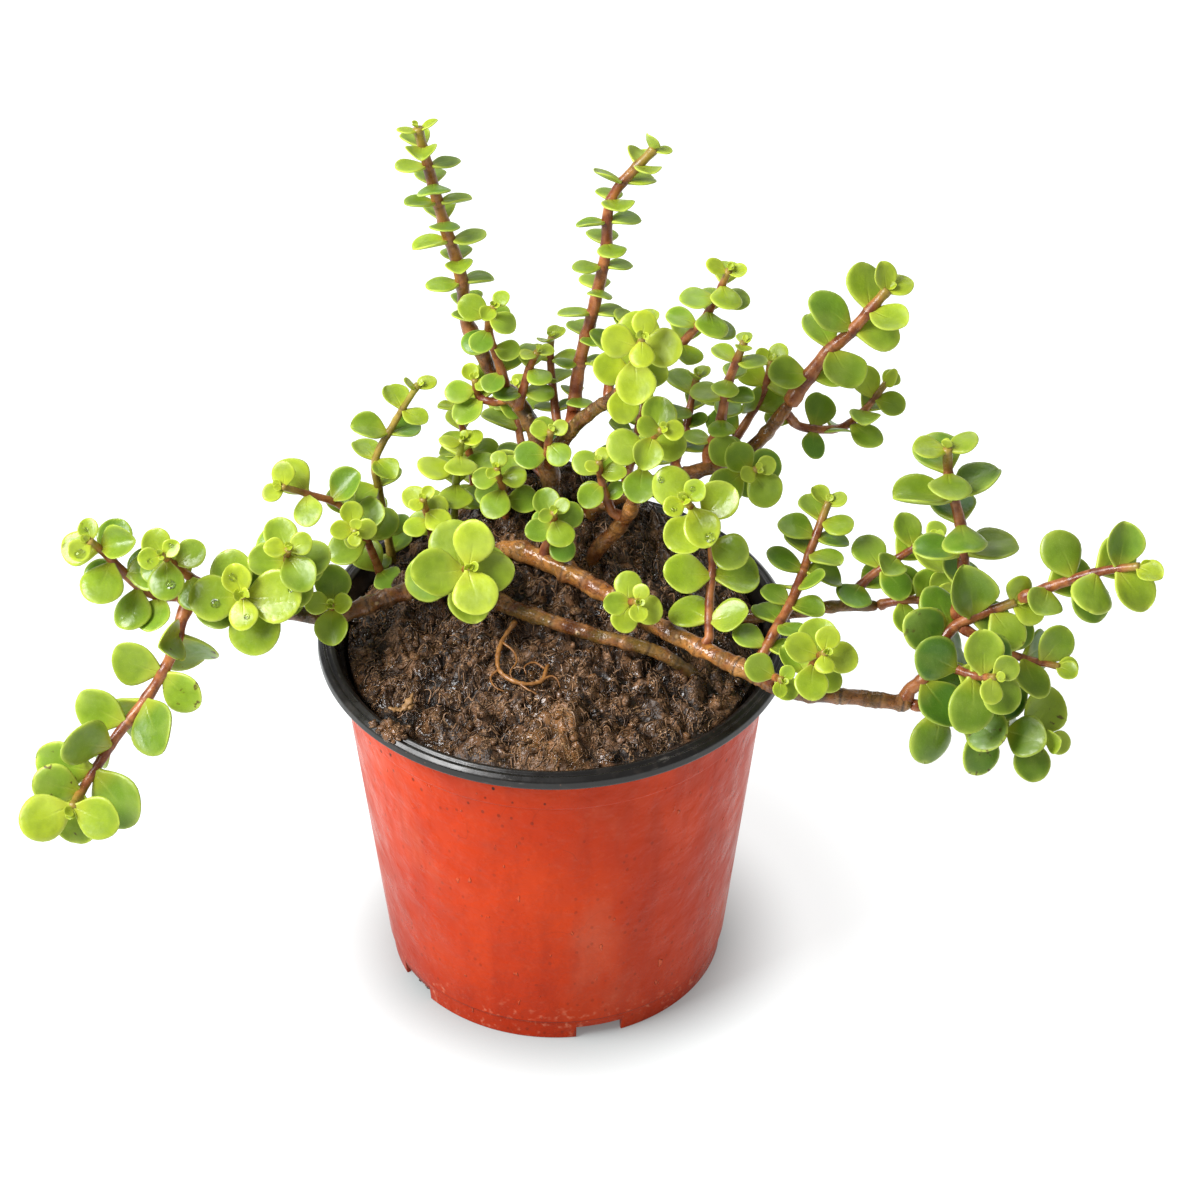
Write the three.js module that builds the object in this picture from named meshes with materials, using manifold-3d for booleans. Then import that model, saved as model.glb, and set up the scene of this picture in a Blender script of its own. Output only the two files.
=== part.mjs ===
// A dwarf jade, also called elephant bush, growing in a two-tone nursery pot.
// Millimetres, +Z up, +X to the viewer's right. The origin is the centre of the pot's underside.

import * as THREE from "three";
import { mergeVertices } from "three/addons/utils/BufferGeometryUtils.js";
import Module from "manifold-3d";

const wasm = await Module();
wasm.setup();

// Pot: driving dimensions
const POT_SIDES = 32;
const POT_HEIGHT = 127;
const RIM_RADIUS = 75;
const RIM_DEPTH = 5.4;
const RIM_INNER_RADIUS = 69.6;
const RIM_LIP = 1.4;
const WALL_TOP_RADIUS = 69;
const WALL_FOOT_RADIUS = 55.4;
const WALL_THICKNESS = 1;
const STEP_BELOW_RIM = 19;
const STEP_SIZE = 0.6;
const FOOT_HEIGHT = 8;
const FOOT_RADIUS = 54;
const FOOT_RING_WIDTH = 1.4;
const FOOT_FLARE = 0.7;
const BASE_DISC_RADIUS = 43;
const CHANNEL_HEIGHT = 5.6;
const CHANNEL_FLARE = 1.2;
const CORNER_RISE = 1.4;
const NOTCH_COUNT = 5;
const NOTCH_FIRST_ANGLE = 15;
const NOTCH_WIDTH = 15;
const NOTCH_DEPTH = 16;
const NOTCH_HEIGHT = 4.8;

// Rim: its section from the underside over the bead and the groove, as a distance inwards and a height
const RIM_SECTION = [[1.4, 0], [0, 1.3], [0.2, 3.6], [1.6, 4.9], [2.6, 4.3], [3.6, RIM_DEPTH]];

// Gap between pieces that touch, and the distance that leaves keep from everything else
const GAP = 0.3;
const LEAF_CLEARANCE = 0.35;

// Soil: driving dimensions
const SOIL_RADIUS = 65.4;
const SOIL_EDGE = 121;
const SOIL_SHOULDER = 6.5;
const MOUND_HEIGHT = 20;
const MOUND_CENTRE_Y = 22;
const MOUND_SPREAD = 51;
const SHOULDER_POWER = 4;
const MOUND_POWER = 12;
const RELIEF_POWER = 8;
const SOIL_RINGS = 8;
const CRUMB_COUNT = 40;
const CRUMB_REACH = 0.88;
const CRUMB_RADIUS = 6;
const CRUMB_HEIGHT = 2.2;
const SOIL_FEATURES = [
  { x: 2, y: -56, radius: 11, height: 3.5 },
  { x: -46, y: -38, radius: 8, height: -5 },
  { x: 12, y: -12, radius: 7, height: -3 },
  { x: 0, y: 40, radius: 26, height: 12 },
];

// Wood: each stem is a list of limbs, and a limb is its route and its radius at both ends
const WOOD_SIDES = 6;
const WOOD_STEP = 8;
const WOOD_SWELLING = 0.09;
const WOOD = {
  stem_trunk: [
    {
      from: 3.8, to: 2,
      path: [[-1, 22, 126], [-1, 23, 152], [-2, 25, 170], [-9, 30, 188], [-18, 34, 198], [-25, 36, 213]],
    },
    { from: 2.5, to: 1.5, path: [[-2, 25, 174], [8, 19, 193], [19, 12, 208], [33, 10, 222]] },
  ],
  stem_back_right: [
    {
      from: 3.2, to: 1.9,
      path: [[8, 30, 128], [10, 24, 152], [20, 22, 162], [46, 26, 169], [62, 31, 174], [74, 36, 188]],
    },
  ],
  stem_centre: [
    { from: 2.7, to: 2.2, path: [[9, 6, 122], [11, 8, 146], [19, 9, 158], [24, 6, 169], [26, 3, 181]] },
  ],
  stem_right: [
    {
      from: 3.2, to: 2.3,
      path: [
        [-22, 15, 132], [-15, 11, 149], [2, 0, 150], [17, -10, 147], [33, -22, 144],
        [59, -42, 143], [72, -48, 140], [91, -50, 139], [110, -50, 136],
      ],
    },
  ],
  stem_left: [
    {
      from: 3, to: 2.2,
      path: [
        [-27, -3, 124], [-32, 0, 143], [-44, -3, 144], [-58, -8, 142], [-70, -12, 140],
        [-82, -14, 144], [-97, -16, 151], [-108, -18, 155], [-113, -20, 152],
      ],
    },
    {
      from: 2.6, to: 1.8,
      path: [[-32, 0, 142], [-22, -7, 145], [-7, -16, 144], [14, -24, 142], [32, -28, 139], [46, -26, 126]],
    },
  ],
  stem_back_low: [
    {
      from: 2.2, to: 1.7,
      path: [[48, 0, 118], [57, -6, 134], [74, -11, 141], [86, -13, 145], [101, -15, 147]],
    },
  ],
};

// Root that hangs in a loop from the front stem
const ROOT_RADIUS = 0.9;
const ROOT_SIDES = 5;
const ROOT_STEP = 4;
const ROOT_PATH = [
  [-12, -16.5, 142], [-16.5, -23, 138], [-17, -31.5, 135],
  [-11, -37, 134], [-4, -36.5, 134], [-2, -31, 135.5], [-1, -26, 132],
];

// Leafy shoots: route, length of the full leaf, number of leaf pairs, the turn of the top pair,
// how far the blades tilt from level towards the front, the stem's radius at its foot, and its bare length
const SHOOTS = {
  shoot_tall_left: {
    leaf: 12, pairs: 10, turn: 10, tilt: -12, girth: 2.3,
    path: [[-27, 38, 217], [-29, 39, 236], [-34, 41, 254], [-41, 45, 284]],
  },
  shoot_left_side: {
    leaf: 11, pairs: 5, turn: 60,
    path: [[-15, 29, 200], [-19, 27, 217], [-20, 23, 228], [-18, 17, 238]],
  },
  shoot_fork_a: {
    leaf: 11, pairs: 3, turn: 20, tilt: 5,
    path: [[-11, 27, 193], [-8, 27, 206], [-5, 24, 216]],
  },
  shoot_fork_b: {
    leaf: 11, pairs: 4, turn: 70, tilt: 0,
    path: [[1, 26, 186], [-1, 38, 199], [-1, 42, 209]],
  },
  shoot_tall_right: {
    leaf: 11, pairs: 12, turn: 15, tilt: -12, girth: 2.3,
    path: [[6, 26, 191], [8, 32, 206], [12, 35, 223], [16, 39, 242], [18, 43, 260], [31, 46, 276]],
  },
  shoot_pale_rosette: {
    leaf: 14.5, pairs: 5, turn: 90, tilt: 50, tip: 0.7,
    path: [[20, 8, 211], [23, 4, 221], [25, -2, 233], [27, -9, 244]],
  },
  shoot_top: {
    leaf: 12, pairs: 6, turn: 0, tilt: 10,
    path: [[36, 9, 225], [43, 10, 234], [48, 10, 242], [53, 8, 257]],
  },
  shoot_scarred: {
    leaf: 11, pairs: 6, turn: 80, tilt: 5, girth: 1.9,
    path: [[48, 29, 173], [52, 29, 186], [54, 30, 199], [59, 32, 214]],
  },
  shoot_stout: {
    leaf: 16.5, pairs: 5, turn: 35, tilt: 35, girth: 2.5,
    path: [[77, 38, 192], [85, 41, 203], [93, 44, 210], [104, 49, 222]],
  },
  shoot_upper_right: {
    leaf: 12, pairs: 7, turn: 45, tilt: 30,
    path: [[73, 39, 182], [78, 41, 175], [90, 43, 173], [98, 47, 177], [105, 51, 185]],
  },
  shoot_back_right: {
    leaf: 13, pairs: 4, turn: 50, tilt: 45,
    path: [[55, 34, 172], [60, 38, 178], [66, 43, 188], [68, 46, 197]],
  },
  shoot_back_front: {
    leaf: 13, pairs: 4, turn: 25, tilt: 50,
    path: [[54.5, 24.4, 173.6], [57, 19, 175], [60, 14, 177], [63, 9, 182]],
  },
  shoot_right: {
    leaf: 12.5, pairs: 9, turn: 25, tilt: 20, girth: 1.9,
    path: [[63, -39, 144], [68, -32, 150], [74, -22, 156], [80, -8, 165], [85, 0, 176]],
  },
  shoot_rim_right: {
    leaf: 14, pairs: 4, turn: 75, tilt: 45,
    path: [[75, -50, 144], [78, -52, 151], [80, -56, 159], [82, -62, 166]],
  },
  shoot_right_foot: {
    leaf: 11, pairs: 2, turn: 70, tilt: 50,
    path: [[66, -48.3, 145.4], [67.5, -52, 148.3], [69.5, -56.5, 150.8]],
  },
  shoot_wet_rosette: {
    leaf: 15.5, pairs: 6, turn: 35, tilt: 50,
    path: [[48, -31, 147], [48, -24, 155], [49, -16, 166], [47, -15, 178], [42, -20, 189], [40, -27, 197]],
  },
  shoot_centre_crown: {
    leaf: 14, pairs: 4, turn: 0, tilt: 45,
    path: [[27, 2, 184], [28, 0, 193], [30, -4, 203], [33, -10, 211]],
  },
  shoot_centre_left: {
    leaf: 10.5, pairs: 4, turn: 60, tilt: 40,
    path: [[18, 8.3, 166], [16, 9, 172], [14.5, 9, 179], [14, 8, 186]],
  },
  shoot_trunk_front: {
    leaf: 11, pairs: 3, turn: 20, tilt: 45,
    path: [[-2, 20.5, 175], [-2, 18.5, 183], [-1, 17, 191]],
  },
  shoot_centre_low: {
    leaf: 10.5, pairs: 4, turn: 30, tilt: 45,
    path: [[-3, 4, 155], [0, 4, 161], [0, 2, 167], [0, -1, 173]],
  },
  shoot_front_rosette: {
    leaf: 19, pairs: 4, turn: 95, tilt: 50, tip: 0.78,
    path: [[-30, -3, 147], [-29, -8, 153], [-28, -13, 159], [-26, -19, 165]],
  },
  shoot_left_upright: {
    leaf: 14, pairs: 5, turn: 5, tilt: 5, bare: 22,
    path: [[-33, 32, 130], [-32, 31, 150], [-31, 31, 164], [-29, 30, 178]],
  },
  shoot_left_back: {
    leaf: 12, pairs: 7, turn: 40, tilt: 20,
    path: [[-52, 34, 124], [-56, 37, 152], [-57, 38, 164], [-51, 41, 176], [-43, 43, 190]],
  },
  shoot_trunk_left: {
    leaf: 12, pairs: 4, turn: 60, tilt: 40,
    path: [[-14, 35, 190], [-20, 38, 187], [-24, 40, 188], [-25, 39, 195]],
  },
  shoot_left_tuft: {
    leaf: 12, pairs: 4, turn: 15, tilt: 5, bare: 14,
    path: [[-25, 47, 134], [-27, 46, 158], [-29, 46, 169], [-31, 46, 180]],
  },
  shoot_left_inner: {
    leaf: 10, pairs: 4, turn: 50, tilt: 40, bare: 20,
    path: [[-38, 17, 132], [-39, 14, 156], [-40, 12, 163], [-41, 10, 170]],
  },
  shoot_left_mid: {
    leaf: 11, pairs: 4, turn: 75, tilt: 35, bare: 24,
    path: [[-15, 27, 136], [-16, 22, 162], [-17, 20, 169], [-18, 18, 176]],
  },
  shoot_left_low: {
    leaf: 14.5, pairs: 6, turn: 30, tilt: 40, bare: 10,
    path: [[-53, 22, 122], [-61, 22, 148], [-68, 20, 160], [-77, 16, 167], [-85, 12, 173]],
  },
  shoot_left_small: {
    leaf: 8, pairs: 4, turn: 90, tilt: 45, girth: 1.5,
    path: [[-63, 18, 151], [-63, 14, 156], [-63, 9, 159], [-62, 3, 162]],
  },
  shoot_rim_left: {
    leaf: 14, pairs: 6, turn: 15, tilt: 40,
    path: [[-88, -12, 151], [-84, -14, 158], [-82, -19, 167], [-81, -24, 176]],
  },
  shoot_left_wood: {
    leaf: 14, pairs: 2, turn: 5, tilt: 50,
    path: [[-68, -14, 143.9], [-68.5, -16.5, 147.5], [-69, -20, 151]],
  },
  shoot_left_rosette: {
    leaf: 19, pairs: 4, turn: 100, tilt: 50,
    path: [[-95, -19, 153], [-95, -24, 157], [-95, -28, 160], [-95, -32, 164]],
  },
  shoot_left_outer: {
    leaf: 13, pairs: 4, turn: 20, tilt: 45,
    path: [[-109, -19, 159], [-113, -21, 164], [-117, -24, 171], [-119, -31, 179]],
  },
  shoot_left_end: {
    leaf: 15, pairs: 6, turn: 70, tilt: 45, girth: 1.85,
    path: [[-116, -18, 153], [-124, -17, 153], [-130, -17, 158], [-138, -18, 170], [-142, -21, 177]],
  },
  shoot_trailing: {
    leaf: 20, pairs: 8, turn: 0, tilt: 55, girth: 2.1, tip: 0.8,
    path: [
      [-115, -24, 149], [-118, -30, 140], [-125, -36, 129], [-135, -44, 119],
      [-141, -50, 112], [-146, -57, 107], [-148, -66, 108],
    ],
  },
  shoot_right_low: {
    leaf: 18, pairs: 6, turn: 50, tilt: 55, girth: 1.7,
    path: [[113, -50, 135], [120, -50, 133], [131, -51, 129], [146, -52, 125], [152, -54, 125]],
  },
  shoot_right_arm: {
    leaf: 18, pairs: 6, turn: 15, tilt: 55, girth: 2.2,
    path: [[109, -48, 140], [114, -47, 145], [118, -42, 152], [124, -38, 158], [141, -36, 165]],
  },
  shoot_right_front: {
    leaf: 18, pairs: 4, turn: 45, tilt: 55,
    path: [[120, -46, 149], [124, -51, 150], [129, -55, 151], [134, -59, 154]],
  },
  shoot_right_side: {
    leaf: 15, pairs: 5, turn: 65, tilt: 55,
    path: [[128, -39, 155], [137, -41, 150], [146, -42, 147], [155, -44, 146]],
  },
  shoot_far_right: {
    leaf: 16.5, pairs: 5, turn: 80, tilt: 55, girth: 1.9,
    path: [[146, -36, 168], [155, -38, 174], [167, -40, 180], [177, -43, 184]],
  },
  shoot_right_upright: {
    leaf: 18, pairs: 6, turn: 10, tilt: 10, girth: 2.2,
    path: [[124, -34, 162], [125, -31, 173], [124, -26, 186], [120, -22, 201], [119, -21, 212]],
  },
  shoot_right_mid: {
    leaf: 13.5, pairs: 5, turn: 55, tilt: 30,
    path: [[92, -13, 149], [98, -12, 156], [106, -12, 163], [116, -13, 172]],
  },
  shoot_low_tip: {
    leaf: 12.5, pairs: 4, turn: 30, tilt: 45,
    path: [[103, -15, 148], [109, -16, 150], [115, -17, 151], [121, -20, 154]],
  },
  shoot_centre_small: {
    leaf: 11.5, pairs: 3, turn: 85, tilt: 50,
    path: [[22, -16, 149], [23, -21, 153], [24, -26, 157], [26, -31, 161]],
  },
  shoot_back_upper: {
    leaf: 14, pairs: 4, turn: 25, tilt: 10,
    path: [[17, 17, 208], [20, 22, 211], [24, 27, 216], [26, 31, 223]],
  },
  shoot_back_middle: {
    leaf: 12, pairs: 5, turn: 65, tilt: 5,
    path: [[38, 31, 168], [41, 38, 174], [43, 44, 182], [45, 48, 190]],
  },
  shoot_behind_left: {
    leaf: 14, pairs: 5, turn: 35, tilt: 10,
    path: [[-5, 30, 166], [-10, 42, 165], [-12, 54, 168], [-13, 63, 175]],
  },
  shoot_behind_right: {
    leaf: 14, pairs: 5, turn: 75, tilt: 5,
    path: [[22, 27, 162], [24, 40, 161], [26, 52, 164], [28, 61, 171]],
  },
};
const SHOOT_SIDES = 4;
const SHOOT_STEP = 11;
const SHOOT_GIRTH = 1.6;
const SHOOT_TIP = 0.68;
const NODE_HEIGHT = 1.3;
const BUD_HEIGHT = 2.4;
const FIRST_PAIR_HEIGHT = 5;
const PAIR_CROWDING = 0.85;
const SIDEWAYS_SHARE = 0.75;
const SEED = 4207;

// Leaf: outline as shares of its length, along the blade and half across it
const LEAF_OUTLINE = [[0.26, 0.28], [0.6, 0.44], [0.9, 0.28]];
const SMALL_LEAF_OUTLINE = [[0.4, 0.38], [0.82, 0.36]];
const SMALL_LEAF = 8;
const NECK_LENGTH = 0.5;
const NECK_WIDTH = 0.62;
const STEM_CLEARANCE = 0.1;
const LEAF_MIDDLE = 0.6;
const LEAF_THICKNESS = 0.13;
const LEAF_CURL = 0.1;

// Leaf: angles in degrees, sizes as shares of the full leaf, and how far the draws spread them
const LEAF_TILT = 28;
const LIGHT_PULL = 0.7;
const LEVELLING = 0.7;
const LEAF_LEAN = 8;
const TIP_LEANS = [42, 26, 14];
const TIP_SIZE = 0.55;
const SECOND_SIZE = 0.9;
const FOOT_SIZE = 0.85;
const TURN_SPREAD = 22;
const LEAN_SPREAD = 18;
const SIZE_SPREAD = 0.24;

// How a leaf turns round its stem, leans to the tip and shrinks, tried in turn until it is clear
const LEAF_BENDS = [
  { turn: 0, lean: 0, size: 1 },
  { turn: 16, lean: 0, size: 1 },
  { turn: -16, lean: 0, size: 1 },
  { turn: 0, lean: 20, size: 1 },
  { turn: 0, lean: -18, size: 1 },
  { turn: 28, lean: 14, size: 0.9 },
  { turn: -28, lean: 14, size: 0.9 },
  { turn: 0, lean: 36, size: 0.9 },
  { turn: 0, lean: 0, size: 0.75 },
  { turn: 24, lean: 24, size: 0.72 },
  { turn: -24, lean: 24, size: 0.72 },
  { turn: 0, lean: 42, size: 0.66 },
];

// Materials
const plastic = (color) => new THREE.MeshStandardMaterial({ color, roughness: 0.42, metalness: 0 });
const redPlastic = plastic(0xc8452a);
const blackPlastic = plastic(0x24252a);
const peat = new THREE.MeshStandardMaterial({ color: 0x3a2a21, roughness: 0.95, metalness: 0 });
const bark = new THREE.MeshStandardMaterial({ color: 0x7a4f2c, roughness: 0.5, metalness: 0 });
const rootSkin = new THREE.MeshStandardMaterial({ color: 0xa5672f, roughness: 0.6, metalness: 0 });
const foliage = new THREE.MeshStandardMaterial({ color: 0x6fa03a, roughness: 0.38, metalness: 0 });

// A repeatable draw between 0 and 1
function makeDraw(seed) {
  const modulus = 2147483647;
  const factor = 16807;
  let state = seed;
  return () => {
    state = (state * factor) % modulus;
    return state / modulus;
  };
}

// A closed three.js geometry as a solid that can be joined and cut
function toSolid(geometry) {
  geometry.deleteAttribute("normal");
  geometry.deleteAttribute("uv");
  const merged = mergeVertices(geometry, 1e-4);
  const mesh = new wasm.Mesh({
    numProp: 3,
    vertProperties: new Float32Array(merged.attributes.position.array),
    triVerts: new Uint32Array(merged.index.array),
  });
  return new wasm.Manifold(mesh);
}

function toGeometry(solid) {
  const mesh = solid.getMesh();
  const geometry = new THREE.BufferGeometry();
  geometry.setAttribute("position", new THREE.BufferAttribute(new Float32Array(mesh.vertProperties), 3));
  geometry.setIndex(new THREE.BufferAttribute(new Uint32Array(mesh.triVerts), 1));
  geometry.computeVertexNormals();
  return geometry;
}

function meshFromFaces(points, faces) {
  const geometry = new THREE.BufferGeometry();
  geometry.setAttribute("position", new THREE.Float32BufferAttribute(points.flat(), 3));
  geometry.setIndex(faces.flat());
  return geometry;
}

const plant = new THREE.Group();
plant.name = "potted_jade_plant";

function addPiece(name, solid, material) {
  const mesh = new THREE.Mesh(toGeometry(solid), material);
  mesh.name = name;
  plant.add(mesh);
}

// Pot: a red outer layer and a black inner layer that rolls over it as the rim

function lathe(profile) {
  const points = profile.map(([radius, height]) => new THREE.Vector2(radius, height));
  const geometry = new THREE.LatheGeometry(points, POT_SIDES);
  geometry.rotateX(Math.PI / 2);
  return toSolid(geometry);
}

const rimUnderside = POT_HEIGHT - RIM_DEPTH;
const stepHeight = POT_HEIGHT - STEP_BELOW_RIM;
const wallSlope = (WALL_TOP_RADIUS - WALL_FOOT_RADIUS) / (rimUnderside - FOOT_HEIGHT);
const wallRadius = (height) => WALL_FOOT_RADIUS + wallSlope * (height - FOOT_HEIGHT);
const linerOffset = WALL_THICKNESS + GAP;
const linerInset = linerOffset + WALL_THICKNESS;

function potOuterLayer() {
  const inner = (height) => wallRadius(height) - WALL_THICKNESS;
  const wallTop = rimUnderside - GAP;
  const channelTop = CHANNEL_HEIGHT + WALL_THICKNESS;
  return lathe([
    [0, 0],
    [BASE_DISC_RADIUS, 0],
    [BASE_DISC_RADIUS + CHANNEL_FLARE, CHANNEL_HEIGHT],
    [FOOT_RADIUS - FOOT_RING_WIDTH - FOOT_FLARE, CHANNEL_HEIGHT],
    [FOOT_RADIUS - FOOT_RING_WIDTH, 0],
    [FOOT_RADIUS, 0],
    [FOOT_RADIUS + FOOT_FLARE, FOOT_HEIGHT - STEP_SIZE],
    [WALL_FOOT_RADIUS, FOOT_HEIGHT],
    [wallRadius(stepHeight) - STEP_SIZE, stepHeight],
    [wallRadius(stepHeight), stepHeight + STEP_SIZE],
    [wallRadius(wallTop), wallTop],
    [inner(wallTop), wallTop],
    [inner(stepHeight) - STEP_SIZE, stepHeight],
    [inner(FOOT_HEIGHT), FOOT_HEIGHT + WALL_THICKNESS],
    [FOOT_RADIUS - STEP_SIZE, channelTop],
    [BASE_DISC_RADIUS + CHANNEL_FLARE - WALL_THICKNESS, channelTop],
    [BASE_DISC_RADIUS - WALL_THICKNESS, WALL_THICKNESS],
    [0, WALL_THICKNESS],
  ]);
}

function drainNotch(angleFromFront) {
  const notch = new THREE.BoxGeometry(NOTCH_WIDTH, NOTCH_DEPTH, NOTCH_HEIGHT * 2);
  notch.translate(0, -FOOT_RADIUS, 0);
  notch.rotateZ(THREE.MathUtils.degToRad(angleFromFront));
  return toSolid(notch);
}

function potInnerLayer() {
  const outer = (height) => wallRadius(height) - linerOffset;
  const inner = (height) => wallRadius(height) - linerInset;
  const floorOuter = linerOffset;
  const floorInner = linerInset;
  const cornerOuter = FOOT_HEIGHT + CORNER_RISE;
  const cornerInner = cornerOuter + WALL_THICKNESS;
  const discOuter = BASE_DISC_RADIUS - CHANNEL_FLARE;
  const discInner = discOuter - STEP_SIZE;
  return lathe([
    [0, floorOuter],
    [discOuter, floorOuter],
    [discOuter + CHANNEL_FLARE, CHANNEL_HEIGHT + floorOuter],
    [FOOT_RADIUS - WALL_THICKNESS, CHANNEL_HEIGHT + floorOuter],
    [outer(cornerOuter), cornerOuter],
    [outer(stepHeight) - STEP_SIZE, stepHeight],
    [outer(rimUnderside), rimUnderside],
    ...RIM_SECTION.map(([inwards, height]) => [RIM_RADIUS - inwards, rimUnderside + height]),
    [RIM_INNER_RADIUS, POT_HEIGHT - WALL_THICKNESS],
    [RIM_INNER_RADIUS - RIM_LIP, rimUnderside + WALL_THICKNESS],
    [inner(rimUnderside), rimUnderside - WALL_THICKNESS],
    [inner(stepHeight) - STEP_SIZE, stepHeight],
    [inner(cornerInner), cornerInner],
    [FOOT_RADIUS - WALL_THICKNESS * 2, CHANNEL_HEIGHT + floorInner],
    [discInner + CHANNEL_FLARE, CHANNEL_HEIGHT + floorInner],
    [discInner, floorInner],
    [0, floorInner],
  ]);
}

let outerLayer = potOuterLayer();
for (let index = 0; index < NOTCH_COUNT; index += 1) {
  outerLayer = outerLayer.subtract(drainNotch(NOTCH_FIRST_ANGLE + (360 / NOTCH_COUNT) * index));
}
const innerLayer = potInnerLayer();
addPiece("pot_outer_layer", outerLayer, redPlastic);
addPiece("pot_inner_layer", innerLayer, blackPlastic);

// Stems, shoots and roots: a tube along a smooth route, thinner towards its end

function routeOf(path) {
  return new THREE.CatmullRomCurve3(path.map((point) => new THREE.Vector3(...point)), false, "catmullrom");
}

function limb(path, { from, to, sides, step, swelling = 0, extra = 0 }) {
  const route = routeOf(path);
  const steps = Math.max(2, Math.round(route.getLength() / step));
  const corners = Array.from({ length: sides }, (_, side) => {
    const angle = (side / sides) * Math.PI * 2;
    return new THREE.Vector2(Math.cos(angle), Math.sin(angle));
  });
  const section = new THREE.Shape(corners);
  const geometry = new THREE.ExtrudeGeometry(section, { steps, extrudePath: route, bevelEnabled: false });
  const centres = route.getSpacedPoints(steps);
  const radii = centres.map((centre, ring) => {
    const swell = ring % 2 === 1 ? 1 + swelling : 1 - swelling;
    return THREE.MathUtils.lerp(from, to, ring / steps) * swell + extra;
  });
  const position = geometry.attributes.position;
  const vertex = new THREE.Vector3();
  for (let index = 0; index < position.count; index += 1) {
    vertex.fromBufferAttribute(position, index);
    const distances = centres.map((centre) => Math.abs(centre.distanceTo(vertex) - 1));
    const ring = distances.indexOf(Math.min(...distances));
    vertex.sub(centres[ring]).multiplyScalar(radii[ring]).add(centres[ring]);
    position.setXYZ(index, vertex.x, vertex.y, vertex.z);
  }
  return toSolid(geometry);
}

const fuse = (solids) => solids.reduce((whole, solid) => whole.add(solid));

function woodLimb({ path, from, to }, { swelling = WOOD_SWELLING, extra = 0 } = {}) {
  return limb(path, { from, to, sides: WOOD_SIDES, step: WOOD_STEP, swelling, extra });
}

function shootStem(shoot, extra = 0) {
  const from = shoot.girth ?? SHOOT_GIRTH;
  return limb(shoot.path, { from, to: from * SHOOT_TIP, sides: SHOOT_SIDES, step: SHOOT_STEP, extra });
}

function rootLimb(path = ROOT_PATH, extra = 0) {
  return limb(path, { from: ROOT_RADIUS, to: ROOT_RADIUS, sides: ROOT_SIDES, step: ROOT_STEP, extra });
}

// Soil: a mound higher at the back, with crumbs by formula and a plain hole for each stem

const soilDraw = makeDraw(SEED);
const crumbs = [];
for (let index = 0; index < CRUMB_COUNT; index += 1) {
  const angle = soilDraw() * Math.PI * 2;
  const reach = Math.sqrt(soilDraw()) * SOIL_RADIUS * CRUMB_REACH;
  const radius = CRUMB_RADIUS * (1 + soilDraw());
  const height = CRUMB_HEIGHT * (soilDraw() * 2 - 1);
  crumbs.push({ x: Math.cos(angle) * reach, y: Math.sin(angle) * reach, radius, height });
}

function soilHeight(x, y) {
  const share = Math.hypot(x, y) / SOIL_RADIUS;
  const shoulder = SOIL_SHOULDER * (1 - share ** SHOULDER_POWER);
  const inFront = Math.min(y - MOUND_CENTRE_Y, 0);
  const slope = Math.exp(-(x * x + inFront * inFront) / MOUND_SPREAD ** 2);
  const mound = MOUND_HEIGHT * slope * (1 - share ** MOUND_POWER);
  const fade = 1 - share ** RELIEF_POWER;
  let relief = 0;
  for (const bump of [...SOIL_FEATURES, ...crumbs]) {
    const distance = ((x - bump.x) ** 2 + (y - bump.y) ** 2) / bump.radius ** 2;
    relief += bump.height * Math.exp(-distance);
  }
  return SOIL_EDGE + shoulder + mound + relief * fade;
}

function soilBody() {
  const points = [[0, 0, soilHeight(0, 0)]];
  const faces = [];
  const linerRadius = (height) => wallRadius(height) - linerInset - GAP;
  const lowCorner = FOOT_HEIGHT + linerInset + STEP_SIZE;
  const floor = CHANNEL_HEIGHT + linerInset + GAP;
  const around = (side) => (side / POT_SIDES) * Math.PI * 2;
  const addRing = (radius, heightAt) => {
    for (let side = 0; side < POT_SIDES; side += 1) {
      const x = Math.sin(around(side)) * radius;
      const y = -Math.cos(around(side)) * radius;
      points.push([x, y, heightAt(x, y)]);
    }
  };
  for (let ring = 1; ring <= SOIL_RINGS; ring += 1) {
    addRing(SOIL_RADIUS * (ring / SOIL_RINGS), soilHeight);
  }
  addRing(linerRadius(stepHeight) - STEP_SIZE, () => stepHeight);
  addRing(linerRadius(lowCorner), () => lowCorner);
  addRing(FOOT_RADIUS - WALL_THICKNESS * 3, () => floor);
  const ringCount = SOIL_RINGS + 3;
  points.push([0, 0, floor]);
  const bottom = points.length - 1;
  for (let side = 0; side < POT_SIDES; side += 1) {
    const next = (side + 1) % POT_SIDES;
    faces.push([0, 1 + side, 1 + next]);
    for (let ring = 0; ring < ringCount - 1; ring += 1) {
      const near = 1 + ring * POT_SIDES;
      const far = near + POT_SIDES;
      faces.push([near + side, far + side, far + next]);
      faces.push([near + side, far + next, near + next]);
    }
    const last = 1 + (ringCount - 1) * POT_SIDES;
    faces.push([last + side, bottom, last + next]);
  }
  return toSolid(meshFromFaces(points, faces));
}

// A hole is the stem itself, wider all round and a little longer at each end that is sunk in the soil
function deepened(path) {
  const lengthen = (end, inner) => {
    const [x, y, z] = end;
    if (z > soilHeight(x, y)) {
      return end;
    }
    const tip = new THREE.Vector3(...end);
    const outward = tip.clone().sub(new THREE.Vector3(...inner)).normalize();
    return tip.addScaledVector(outward, 3 * GAP).toArray();
  };
  return [lengthen(path[0], path[1]), ...path.slice(1, -1), lengthen(path.at(-1), path.at(-2))];
}

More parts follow.
